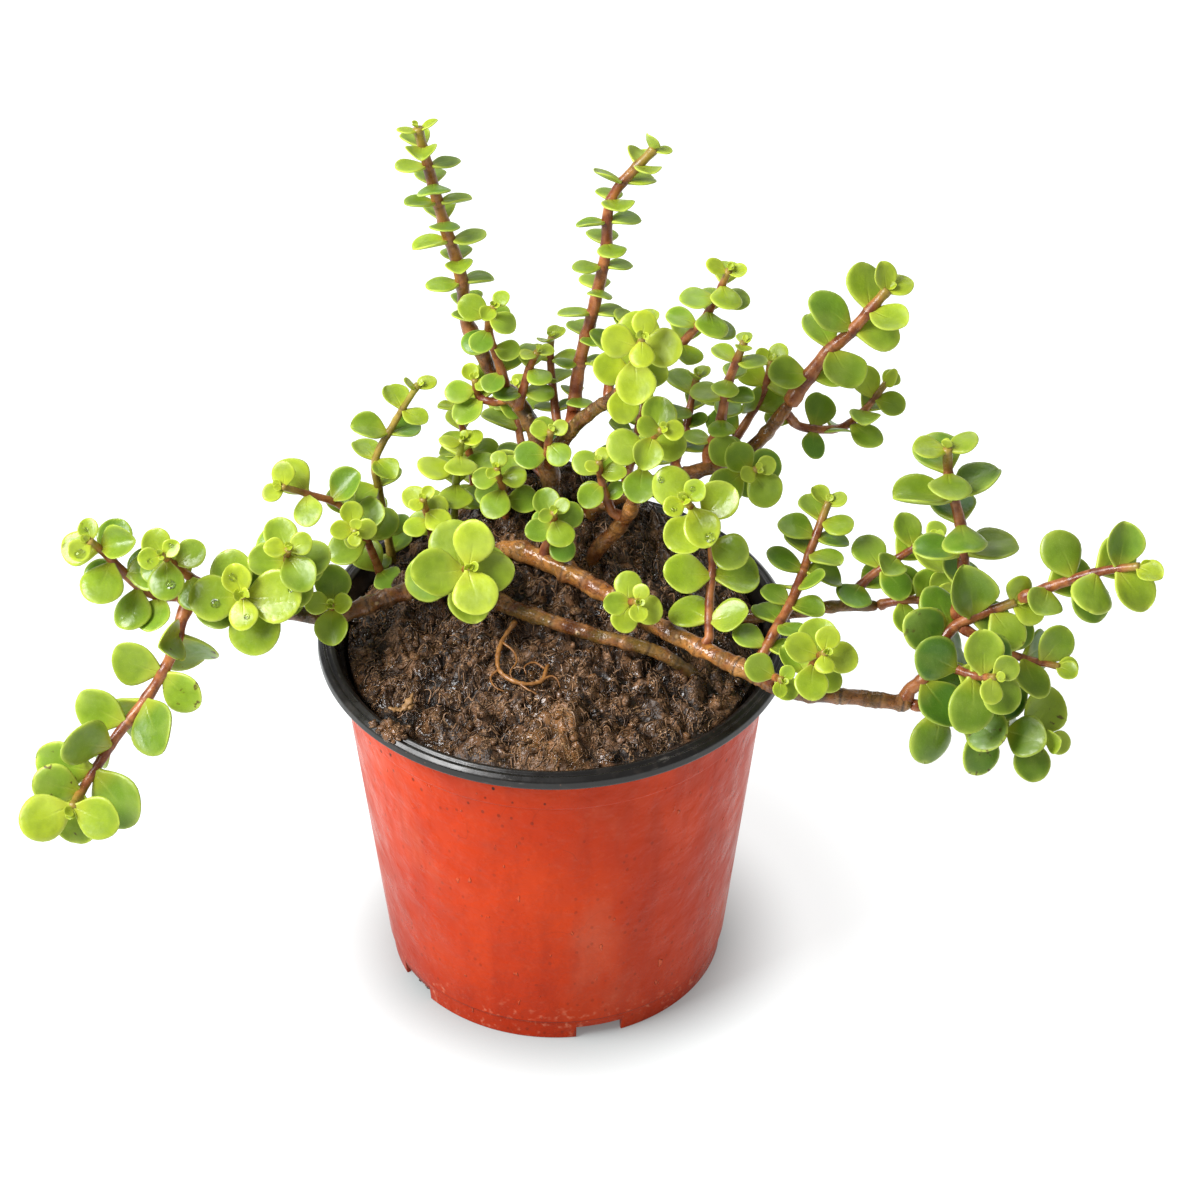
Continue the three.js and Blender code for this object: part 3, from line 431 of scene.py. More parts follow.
def tube(shape, centres, radii, sides, bark, **values):
    """Adds a closed tube. radii has a row for each centre, and a column for each side or one for all.
    An attribute has a row for each centre or one for all."""
    centres = np.asarray(centres, float)
    radii = np.broadcast_to(np.asarray(radii, float).reshape(len(centres), -1), (len(centres), sides))
    rights, ups = tube_frames(centres)
    angles = turns(sides)[None, :, None]
    around = rights[:, None] * np.cos(angles) + ups[:, None] * np.sin(angles)
    values = {name: np.repeat(np.reshape(rows, (-1, 3)), sides, axis=0) if np.ndim(rows) > 1 else rows
              for name, rows in {"bark": bark, **values}.items()}
    shape.add(centres[:, None] + around * radii[..., None], ring_faces(len(centres), sides), **values)


class Route:
    """A smooth curve through points, written as "x y z, x y z", which can be read by its length."""

    DIVISIONS = 200
    TANGENT_STEP = 0.0001

    def __init__(self, path):
        points = np.array([point.split() for point in path.split(",")], float)
        self.points = np.vstack([2 * points[0] - points[1], points, 2 * points[-1] - points[-2]])
        self.shares = np.linspace(0, 1, self.DIVISIONS + 1)
        steps = np.linalg.norm(np.diff([self.raw(share) for share in self.shares], axis=0), axis=1)
        self.lengths = np.concatenate([[0], np.cumsum(steps)])
        self.length = self.lengths[-1]

    def raw(self, share):
        spans = len(self.points) - 3
        place = min(max(share, 0), 1) * spans
        span = min(int(place), spans - 1)
        weight = place - span
        before, start, end, after = self.points[span:span + 4]
        leave = (end - before) / 2
        arrive = (after - start) / 2
        square = -3 * start + 3 * end - 2 * leave - arrive
        cube = 2 * start - 2 * end + leave + arrive
        return start + weight * (leave + weight * (square + weight * cube))

    def by_length(self, share):
        return np.interp(share * self.length, self.lengths, self.shares)

    def at(self, share):
        return self.raw(self.by_length(share))

    def along(self, shares):
        return [self.at(share) for share in shares]

    def tangent(self, share):
        middle = self.by_length(share)
        return unit(self.raw(middle + self.TANGENT_STEP) - self.raw(middle - self.TANGENT_STEP))


def repeatable_draws():
    """Draws between 0 and 1, the same ones that place the crumbs and the leaves of the solids."""
    state = SEED
    while True:
        state = state * DRAW_FACTOR % DRAW_LIMIT
        yield state / DRAW_LIMIT


# Pot: the sizes of the solids, with a small round on every corner

POT_SIDES = 192
POT_HEIGHT = 127
RIM_RADIUS = 75
RIM_DEPTH = 5.4
RIM_INNER_RADIUS = 69.6
RIM_LIP = 1.4
WALL_TOP_RADIUS = 69
WALL_FOOT_RADIUS = 55.4
WALL_THICKNESS = 1
STEP_BELOW_RIM = 19
STEP_SIZE = 0.6
FOOT_HEIGHT = 8
FOOT_RADIUS = 54
FOOT_RING_WIDTH = 1.4
FOOT_FLARE = 0.7
BASE_DISC_RADIUS = 43
CHANNEL_HEIGHT = 5.6
CHANNEL_FLARE = 1.2
CORNER_RISE = 1.4
NOTCH_COUNT = 5
NOTCH_FIRST_ANGLE = 15
NOTCH_WIDTH = 15
NOTCH_DEPTH = 16
NOTCH_HEIGHT = 4.8
RIM_SECTION = [(1.4, 0), (0, 1.3), (0.2, 3.6), (1.6, 4.9), (2.6, 4.3), (3.6, RIM_DEPTH)]
GAP = 0.3
CORNER_ROUND = 0.45
CORNER_HOLD = 1.4
ON_AXIS = 0.01

rim_underside = POT_HEIGHT - RIM_DEPTH
step_height = POT_HEIGHT - STEP_BELOW_RIM
wall_slope = (WALL_TOP_RADIUS - WALL_FOOT_RADIUS) / (rim_underside - FOOT_HEIGHT)
liner_offset = WALL_THICKNESS + GAP
liner_inset = liner_offset + WALL_THICKNESS


def wall_radius(height):
    return WALL_FOOT_RADIUS + wall_slope * (height - FOOT_HEIGHT)


def rounded(profile):
    """The profile with each inner corner turned into a small arc between two holding points."""
    points = np.array(profile, float)
    smooth = [points[0]]
    for before, corner, after in zip(points, points[1:], points[2:]):
        back, forth = before - corner, after - corner
        reach = min(CORNER_ROUND, np.linalg.norm(back) / 3, np.linalg.norm(forth) / 3)
        start, end = corner + unit(back) * reach, corner + unit(forth) * reach
        smooth.append(corner + unit(back) * reach * CORNER_HOLD)
        for share in (0, 0.25, 0.5, 0.75, 1):
            smooth.append(start * (1 - share) ** 2 + corner * 2 * share * (1 - share) + end * share ** 2)
        smooth.append(corner + unit(forth) * reach * CORNER_HOLD)
    smooth.append(points[-1])
    return smooth


def revolved(profile):
    """A closed body of revolution from a profile that starts and ends on the axis."""
    profile = rounded(profile)
    shape = Shape()
    points = [on_circle(radius, angle, height) for radius, height in profile for angle in turns(POT_SIDES)]
    shape.add(points, ring_faces(len(profile), POT_SIDES))
    return shape


def outer_profile():
    """The red layer: base disc, channel, foot ring and wall, up the outside and down the inside."""
    wall_top = rim_underside - GAP
    channel_top = CHANNEL_HEIGHT + WALL_THICKNESS
    foot_inner = FOOT_RADIUS - FOOT_RING_WIDTH

    def inner(height):
        return wall_radius(height) - WALL_THICKNESS

    return [
        (ON_AXIS, 0),
        (BASE_DISC_RADIUS, 0),
        (BASE_DISC_RADIUS + CHANNEL_FLARE, CHANNEL_HEIGHT),
        (foot_inner - FOOT_FLARE, CHANNEL_HEIGHT),
        (foot_inner, 0),
        (FOOT_RADIUS, 0),
        (FOOT_RADIUS + FOOT_FLARE, FOOT_HEIGHT - STEP_SIZE),
        (WALL_FOOT_RADIUS, FOOT_HEIGHT),
        (wall_radius(step_height) - STEP_SIZE, step_height),
        (wall_radius(step_height), step_height + STEP_SIZE),
        (wall_radius(wall_top), wall_top),
        (inner(wall_top), wall_top),
        (inner(step_height) - STEP_SIZE, step_height),
        (inner(FOOT_HEIGHT), FOOT_HEIGHT + WALL_THICKNESS),
        (FOOT_RADIUS - STEP_SIZE, channel_top),
        (BASE_DISC_RADIUS + CHANNEL_FLARE - WALL_THICKNESS, channel_top),
        (BASE_DISC_RADIUS - WALL_THICKNESS, WALL_THICKNESS),
        (ON_AXIS, WALL_THICKNESS),
    ]


def inner_profile():
    """The black layer: a full pot inside the red one, with the rim that rolls over it."""
    corner = FOOT_HEIGHT + CORNER_RISE
    corner_inside = corner + WALL_THICKNESS
    disc_outer = BASE_DISC_RADIUS - CHANNEL_FLARE
    disc_inner = disc_outer - STEP_SIZE

    def outer(height):
        return wall_radius(height) - liner_offset

    def inner(height):
        return wall_radius(height) - liner_inset

    return [
        (ON_AXIS, liner_offset),
        (disc_outer, liner_offset),
        (disc_outer + CHANNEL_FLARE, CHANNEL_HEIGHT + liner_offset),
        (FOOT_RADIUS - WALL_THICKNESS, CHANNEL_HEIGHT + liner_offset),
        (outer(corner), corner),
        (outer(step_height) - STEP_SIZE, step_height),
        (outer(rim_underside), rim_underside),
        *[(RIM_RADIUS - inwards, rim_underside + height) for inwards, height in RIM_SECTION],
        (RIM_INNER_RADIUS, POT_HEIGHT - WALL_THICKNESS),
        (RIM_INNER_RADIUS - RIM_LIP, rim_underside + WALL_THICKNESS),
        (inner(rim_underside), rim_underside - WALL_THICKNESS),
        (inner(step_height) - STEP_SIZE, step_height),
        (inner(corner_inside), corner_inside),
        (FOOT_RADIUS - WALL_THICKNESS * 2, CHANNEL_HEIGHT + liner_inset),
        (disc_inner + CHANNEL_FLARE, CHANNEL_HEIGHT + liner_inset),
        (disc_inner, liner_inset),
        (ON_AXIS, liner_inset),
    ]


def notch_angle(index):
    return math.radians(NOTCH_FIRST_ANGLE + 360 / NOTCH_COUNT * index)


def cut_notches(piece):
    """Cuts the drain notches out of the foot ring, with the same boxes as in the solid."""
    cutters = Shape()
    half = np.array([NOTCH_WIDTH / 2, NOTCH_DEPTH / 2, NOTCH_HEIGHT])
    corners = np.array([(x, y, z) for z in (-1, 1) for x, y in ((-1, -1), (1, -1), (1, 1), (-1, 1))]) * half
    corners += (0, -FOOT_RADIUS, 0)
    for index in range(NOTCH_COUNT):
        cosine, sine = math.cos(notch_angle(index)), math.sin(notch_angle(index))
        turn = np.array([(cosine, sine, 0), (-sine, cosine, 0), (0, 0, 1)])
        cutters.add(corners @ turn, ring_faces(2, 4))
    boolean = piece.modifiers.new("notches", "BOOLEAN")
    boolean.operation = "DIFFERENCE"
    boolean.object = add_mesh("notches", cutters, RED_PLASTIC)
    bpy.context.view_layer.update()
    cut = bpy.data.meshes.new_from_object(piece.evaluated_get(bpy.context.evaluated_depsgraph_get()))
    bpy.data.objects.remove(boolean.object)
    piece.modifiers.clear()
    piece.data = cut


def build_pot():
    outer = add_piece("pot_wall", revolved(outer_profile()), RED_PLASTIC, "red_plastic", "pot_outer_layer")
    cut_notches(outer)
    add_piece("pot_liner", revolved(inner_profile()), BLACK_PLASTIC, "black_plastic", "pot_inner_layer")


# Soil: the mound of the solid with a fine relief, loose crumbs and fibres

SOIL_RADIUS = 65.4
SOIL_EDGE = 121
SOIL_SHOULDER = 6.5
MOUND_HEIGHT = 20
MOUND_CENTRE_Y = 22
MOUND_SPREAD = 51
SHOULDER_POWER = 4
MOUND_POWER = 12
RELIEF_POWER = 8
FINE_RELIEF_POWER = 14
CRUMB_COUNT = 40
CRUMB_REACH = 0.88
CRUMB_RADIUS = 6
CRUMB_HEIGHT = 2.2

# Across, deep, radius and height of the lumps and hollows that stand out
PALE_CLUMP = (2, -56, 11, 3.5)
# A dip in the soil, painted dark as shade
SHADED_HOLLOW = (-46, -38, 8, -5)
UNDER_ROOT = (-9, -31, 12, 0)
SOIL_FEATURES = [PALE_CLUMP, SHADED_HOLLOW, (12, -12, 7, -3), (0, 40, 26, 12)]
SOIL_RINGS = 150
SOIL_SIDES = 460
SMALLEST_RING = 0.001
CLUMP_RISE = 1.6
FLATTENING = 0.8


def large_crumbs():
    draws = repeatable_draws()
    crumbs = []
    for _ in range(CRUMB_COUNT):
        angle = next(draws) * math.pi * 2
        reach = math.sqrt(next(draws)) * SOIL_RADIUS * CRUMB_REACH
        radius = CRUMB_RADIUS * (1 + next(draws))
        height = CRUMB_HEIGHT * (next(draws) * 2 - 1)
        crumbs.append((math.cos(angle) * reach, math.sin(angle) * reach, radius, height))
    return crumbs


SOIL_BUMPS = np.array(SOIL_FEATURES + large_crumbs())


def edge_share(x, y):
    return min(math.hypot(x, y) / SOIL_RADIUS, 1)


def nearness(x, y, feature):
    across, deep, radius, _ = feature
    return math.exp(-(((x - across) / radius) ** 2 + ((y - deep) / radius) ** 2) ** 2)


def soil_height(x, y):
    """The height of the solid's soil: a shoulder at the edge, a mound at the back, and its lumps."""
    share = edge_share(x, y)
    shoulder = SOIL_SHOULDER * (1 - share ** SHOULDER_POWER)
    in_front = min(y - MOUND_CENTRE_Y, 0)
    slope = math.exp(-(x * x + in_front * in_front) / MOUND_SPREAD ** 2)
    mound = MOUND_HEIGHT * slope * (1 - share ** MOUND_POWER)
    across, deep, radius, height = SOIL_BUMPS.T
    relief = (height * np.exp(-((x - across) ** 2 + (y - deep) ** 2) / radius ** 2)).sum()
    return SOIL_EDGE + shoulder + mound + relief * (1 - share ** RELIEF_POWER)


def soil_relief(x, y):
    """Lumps, crumbs and grains on the mound, and a number that is high in the gaps between them, which
    paints shade there.
    """

    def ripple(width, layer):
        return noise.noise((x / width, y / width, layer))

    lumps = ripple(8.5, 3.1)
    clods = abs(ripple(4.6, 11.4))
    crumbs = abs(ripple(2.0, 17.8))
    grains = ripple(0.9, 23.2)
    height = lumps * 4.2 + clods * 5.4 + crumbs * 0.9 - 1.4 + grains * 0.15
    height *= 1 - edge_share(x, y) ** FINE_RELIEF_POWER
    height += CLUMP_RISE * nearness(x, y, PALE_CLUMP) ** 2
    gap_shade = max(0, -lumps * 1.3) + max(0, 0.16 - clods) * 3.4 + max(0, 0.1 - crumbs) * 1.5
    flat = FLATTENING * nearness(x, y, UNDER_ROOT)
    return height * (1 - flat) - flat, min(gap_shade, 1)


def soil_surface(x, y):
    return soil_height(x, y) + soil_relief(x, y)[0]


def build_soil():
    points, tones = [], []
    for ring in range(SOIL_RINGS + 1):
        for angle in turns(SOIL_SIDES):
            x, y, _ = on_circle(SOIL_RADIUS * max(ring / SOIL_RINGS, SMALLEST_RING), angle)
            relief, gap_shade = soil_relief(x, y)
            points.append((x, y, soil_height(x, y) + relief))
            # Painted shade: dark in the gaps of the relief and in the shaded hollow
            tones.append((max(gap_shade, 0.8 * nearness(x, y, SHADED_HOLLOW)), nearness(x, y, PALE_CLUMP), 0))
    low = FOOT_HEIGHT + 3
    body = [
        (wall_radius(step_height) - liner_inset - GAP - STEP_SIZE, step_height),
        (wall_radius(low) - liner_inset - GAP, low),
        (FOOT_RADIUS - 3, CHANNEL_HEIGHT + liner_inset + GAP),
    ]
    for radius, height in body:
        points += [on_circle(radius, angle, height) for angle in turns(SOIL_SIDES)]
        # Painted shade on the soil's buried sides
        tones += [(0.5, 0, 0)] * SOIL_SIDES
    shape = Shape()
    shape.add(points, ring_faces(SOIL_RINGS + 1 + len(body), SOIL_SIDES), peat=tones)
    add_piece("soil_mound", shape, SOIL, "soil", "soil")


CRUMB_SIDES = 7
LUMP_RINGS = ((-0.95, 0.25), (-0.45, 0.9), (0.25, 1), (0.8, 0.55))
LOOSE_CRUMBS = 700
FIBRES = 3400
FIBRE_SIDES = 4
RIM_CRUMBS = 150
RIM_SMEAR_ANGLE = -44
NOTCH_CRUMBS = 26


def lump(shape, centre, size, random, painted_shade_and_darkness, pale):
    """A small uneven ball from four rings."""
    stretch = random.uniform(0.7, 1.25, 3) * size
    rings = [(math.cos(angle) * radius, math.sin(angle) * radius, height)
             for height, radius in LUMP_RINGS for angle in turns(CRUMB_SIDES)]
    rings = np.array(rings) * (1 + random.uniform(-0.28, 0.28, (len(rings), 1))) * stretch
    shape.add(rings + centre, ring_faces(len(LUMP_RINGS), CRUMB_SIDES), peat=(painted_shade_and_darkness, pale, 0))


def on_soil(random, margin):
    """A place drawn on the soil, off its edge by a margin."""
    angle = random.uniform(0, 2 * math.pi)
    return on_circle(math.sqrt(random.uniform()) * (SOIL_RADIUS - margin), angle)[:2]


def build_crumbs():
    random = np.random.default_rng(SEED)
    shape = Shape()
    for _ in range(LOOSE_CRUMBS):
        x, y = on_soil(random, 1)
        size = 0.4 + 1.5 * random.uniform() ** 3
        pale = 0.75 * nearness(x, y, PALE_CLUMP) + 0.35 * (random.uniform() > 0.85)
        # Each crumb is a little darker at random
        painted_shade_and_darkness = 0.3 * random.uniform()
        lump(shape, (x, y, soil_surface(x, y) + size * 0.2), size, random, painted_shade_and_darkness, min(pale, 1))
    add_piece("soil_crumbs", shape, SOIL, "soil")


def rim_top(inwards):
    """The height of the rim's upper side, or of the soil inside it, at a distance in from its edge."""
    if inwards > RIM_RADIUS - RIM_INNER_RADIUS:
        return POT_HEIGHT - inwards * 0.3
    return rim_underside + float(np.interp(inwards, *zip(*RIM_SECTION[1:])))


def build_spilled_soil():
    """Soil that stuck to the rim at the front left, and a clump in the drain notch below it."""
    random = np.random.default_rng(SEED + 5)
    shape = Shape()
    for _ in range(RIM_CRUMBS):
        angle = math.radians(RIM_SMEAR_ANGLE + random.normal(0, 1.5))
        inwards = random.uniform(0.6, 8)
        size = random.uniform(0.4, 1.5)
        pale = 0.3 * random.uniform()
        place = on_circle(RIM_RADIUS - inwards, angle, rim_top(inwards) + size * 0.3)
        lump(shape, place, size, random, 0, pale)
    for _ in range(NOTCH_CRUMBS):
        angle = notch_angle(-1) + math.radians(random.uniform(-4.5, 4.5))
        size = random.uniform(0.5, 1.3)
        radius = FOOT_RADIUS - 1.5 - random.uniform(0, 3)
        place = on_circle(radius, angle, random.uniform(size, NOTCH_HEIGHT - size))
        lump(shape, place, size, random, 0.2, 0.2 * random.uniform())
    add_piece("spilled_soil", shape, SOIL, "soil")


def build_fibres():
    """Curling peat fibres that lie on the soil, some of them arched clear of it."""
    random = np.random.default_rng(SEED + 1)
    shape = Shape()
    for _ in range(FIBRES):
        x, y = on_soil(random, 3)
        heading = random.uniform(0, 2 * math.pi)
        bend = random.normal(0, 0.55)
        arch = max(0, random.normal(-0.1, 0.8))
        stride = random.uniform(0.45, 0.95)
        steps = int(random.integers(5, 9))
        centres = []
        for step in range(steps):
            lift = 0.12 + arch * math.sin(math.pi * step / (steps - 1))
            centres.append((x, y, soil_surface(x, y) + lift))
            heading += bend + random.normal(0, 0.25)
            x, y = x + math.cos(heading) * stride, y + math.sin(heading) * stride
            if math.hypot(x, y) > SOIL_RADIUS - 1:
                break
        if len(centres) > 3:
            radius = random.uniform(0.14, 0.34)
            radii = np.linspace(radius, radius * 0.5, len(centres))
            pale = min(1, random.uniform() ** 1.8 + 0.4 * nearness(x, y, PALE_CLUMP))
            tube(shape, centres, radii, FIBRE_SIDES, bark=(0, 0, pale))
    add_piece("soil_fibres", shape, PEAT_FIBRE, "soil")


STRAW_STRIPS = [
    "-51 -41 127.4, -48.6 -42 127.2, -46.4 -42.6 128",
    "-47.4 -43.4 127.6, -45.2 -41.2 129, -43.4 -37.8 130.6",
    "-47 -42 127.4, -44.6 -42 128.2, -43 -40.4 128.6",
]
STRAW_WIDTH = 1.3
STRAW_THICKNESS = 0.3
STRAW_SIDES = 8
STRAW_STEPS = 14


def build_straw():
    """A scrap of dry sheath that lies folded on the soil at the front left."""
    shape = Shape()
    shares = np.linspace(0, 1, STRAW_STEPS)
    angles = turns(STRAW_SIDES)
    for route in map(Route, STRAW_STRIPS):
        ragged = 1 + 0.35 * np.sin(shares * 19 + route.at(0)[0])
        wide = (STRAW_WIDTH * np.sin(math.pi * np.clip(shares, 0.12, 0.95)) * ragged)[:, None]
        radii = np.hypot(wide * np.cos(angles), STRAW_THICKNESS * np.sin(angles))
        tube(shape, route.along(shares), radii, STRAW_SIDES, bark=(0, 0, 0.8))
    add_piece("straw_scrap", shape, STRAW, "soil")


# Wood: the limbs of the solids as round stems with knots and ring scars

class Limb(NamedTuple):
    start_radius: float
    end_radius: float
    tone: float
    olive: float
    path: str
    fade: float = 0


WOOD_SIDES = 20
WOOD_STEP = 0.8
RING_STEPS = (3.2, 10.5)
SCAR_WIDTH = 0.4
LIMB_STEPS = 60
FADE_START = 0.62
FADE_LENGTH = 0.12
WOOD = {
    "stem_trunk": [
        Limb(3.8, 2, 0.1, 0.2, "-1 22 126, -1 23 152, -2 25 170, -9 30 188, -18 34 198, -25 36 213"),
        Limb(2.5, 1.5, 0.3, 0.3, "-2 25 174, 8 19 193, 19 12 208, 33 10 222"),
    ],
    "stem_back_right": [
        Limb(3.2, 1.9, 0.35, 0.25, "8 30 128, 10 24 152, 20 22 162, 46 26 169, 62 31 174, 74 36 188"),
    ],
    "stem_centre": [
        Limb(2.7, 2.2, 0.65, 0.2, "9 6 122, 11 8 146, 19 9 158, 24 6 169, 26 3 181"),
    ],
    "stem_right": [
        Limb(3.2, 2.3, 0.95, 0.25, "-22 15 132, -15 11 149, 2 0 150, 17 -10 147, 33 -22 144, 59 -42 143, "
             "72 -48 140, 91 -50 139, 110 -50 136", fade=0.7),
    ],
    "stem_left": [
        Limb(3, 2.2, 0.0, 0.15, "-27 -3 124, -32 0 143, -44 -3 144, -58 -8 142, -70 -12 140, -82 -14 144, "
             "-97 -16 151, -108 -18 155, -113 -20 152"),
        Limb(2.6, 1.8, 0.4, 0.45, "-32 0 142, -22 -7 145, -7 -16 144, 14 -24 142, 32 -28 139, 46 -26 126"),
    ],
    "stem_back_low": [
        Limb(2.2, 1.7, 0.3, 0.5, "48 0 118, 57 -6 134, 74 -11 141, 86 -13 145, 101 -15 147"),
    ],
}


def hump(distance, width):
    """1 at no distance, and less the further off."""
    return np.exp(-(distance / width) ** 2)


def wood_limb(shape, limb, random):
    """Adds one limb, with ring scars at drawn steps, swellings beside them and an uneven round."""
    route = Route(limb.path)
    shares = np.linspace(0, 1, round(route.length / WOOD_STEP) + 1)
    along = shares * route.length
    places = np.cumsum(random.uniform(*RING_STEPS, int(route.length / RING_STEPS[0])))
    depths = random.uniform(0.35, 1, len(places))
    nearest = np.abs(along[:, None] - places[None]).argmin(axis=1)
    away = np.abs(along - places[nearest])
    depth = depths[nearest]
    scars = depth * hump(away, SCAR_WIDTH)
    swell = 0.2 * depth * hump(away, 1.6) - 0.16 * scars
    angles = turns(WOOD_SIDES)
    across = np.column_stack([np.cos(angles), np.sin(angles)]) * 1.1
    wander = 0.2 * np.array([[noise.noise((x, y, place / 5)) for x, y in across] for place in along])
    radius = limb.start_radius + (limb.end_radius - limb.start_radius) * shares
    left = route.length - along
    close = np.sqrt(np.clip(1 - (1 - np.clip(left / radius, 0, 1)) ** 2, 0.02, 1))
    scar_turn = (nearest % 2) * math.pi / 2
    lobes = np.abs(np.cos(angles[None] - scar_turn[:, None])) ** 6
    lobes *= 0.2 * (depth * hump(away, 1.2))[:, None]
    radii = (radius * (1 + swell) * close)[:, None] * (1 + lobes + wander)
    tone = limb.tone * (1 - limb.fade * np.clip((shares - FADE_START) / FADE_LENGTH, 0, 1))
    olive = np.full(len(shares), limb.olive)
    swelling = np.stack([depth * hump(away, 1.8)] * 3, axis=1)
    tube(shape, route.along(shares), radii, WOOD_SIDES, bark=np.stack([scars, tone, olive], axis=1),
         swelling=swelling)


LIMB_POINTS = [point for limbs in WOOD.values() for limb in limbs
               for point in Route(limb.path).along(np.linspace(0, 1, LIMB_STEPS))]


def build_wood():
    random = np.random.default_rng(SEED + 2)
    for name, limbs in WOOD.items():
        shape = Shape()
        for limb in limbs:
            wood_limb(shape, limb, random)
        add_piece(name + "_bark", shape, BARK, "bark", name)


ROOT_RADIUS = 0.82
ROOT_STEPS = 60
ROOT_SIDES = 12
ROOT_PATH = ("-12 -16.5 142, -16.5 -23 138, -17 -31.5 135, -11 -37 134, -4 -36.5 134, "
             "-2 -31 135.5, -1 -26 132")
ROOTLET_RADIUS = 0.45
ROOTLET_STEPS = 16
ROOTLET_SIDES = 8
ROOTLETS = [
    "-17 -31.5 135, -19.5 -34 133.6, -18 -38 133, -14 -39.5 132",
    "-16 -22.5 138.5, -12.5 -26 137.6, -11.5 -30 136.6, -13.5 -33.5 135.4, -12 -37 133.8",
    "-11 -37 134, -7 -40 133, -3 -41 132, 0 -39 131.4",
    "-2.5 -32 135.3, -6 -30 136.4, -9 -31.5 136, -8.5 -34 134.8",
    "-4 -36.5 134, -1 -35 135, 1 -36 134.6, 2 -38 133",
]


def build_root():
    shape = Shape()
    shares = np.linspace(0, 1, ROOT_STEPS)
    radii = ROOT_RADIUS * (1 + 0.25 * np.sin(shares * 61) * np.sin(shares * 37)) * (1 - 0.3 * shares)
    tube(shape, Route(ROOT_PATH).along(shares), radii, ROOT_SIDES, bark=(0, 0, 0.8))
    shares = np.linspace(0, 1, ROOTLET_STEPS)
    radii = ROOTLET_RADIUS * (1 - 0.6 * shares)
    for path in ROOTLETS:
        tube(shape, Route(path).along(shares), radii, ROOTLET_SIDES, bark=(0, 0, 0.6))
    add_piece("hanging_root", shape, ROOT_SKIN, "root", "root_loop")


# Leafy shoots: the same rule and the same draws as the solids

class Shoot(NamedTuple):
    """A shoot's leaf length, pairs of leaves, turn of its last pair and path, and how it grows.

    tilt is how far its leaves face the viewer, bare its length without leaves and tip the size of
    its last pair. From 0 to 1, fresh is how yellow its leaves are, deep how much painted shade
    darkens them, spots how spotted and green how green its stem is. drops is its number of water drops.
    """
    leaf: float
    pairs: int
    turn: float
    path: str
    tilt: float = 28
    girth: float = 1.6
    bare: float = 5
    tip: float = 0.55
    fresh: float = 0.22
    deep: float = 0
    spots: float = 0
    drops: int = 0
    green: float = 0


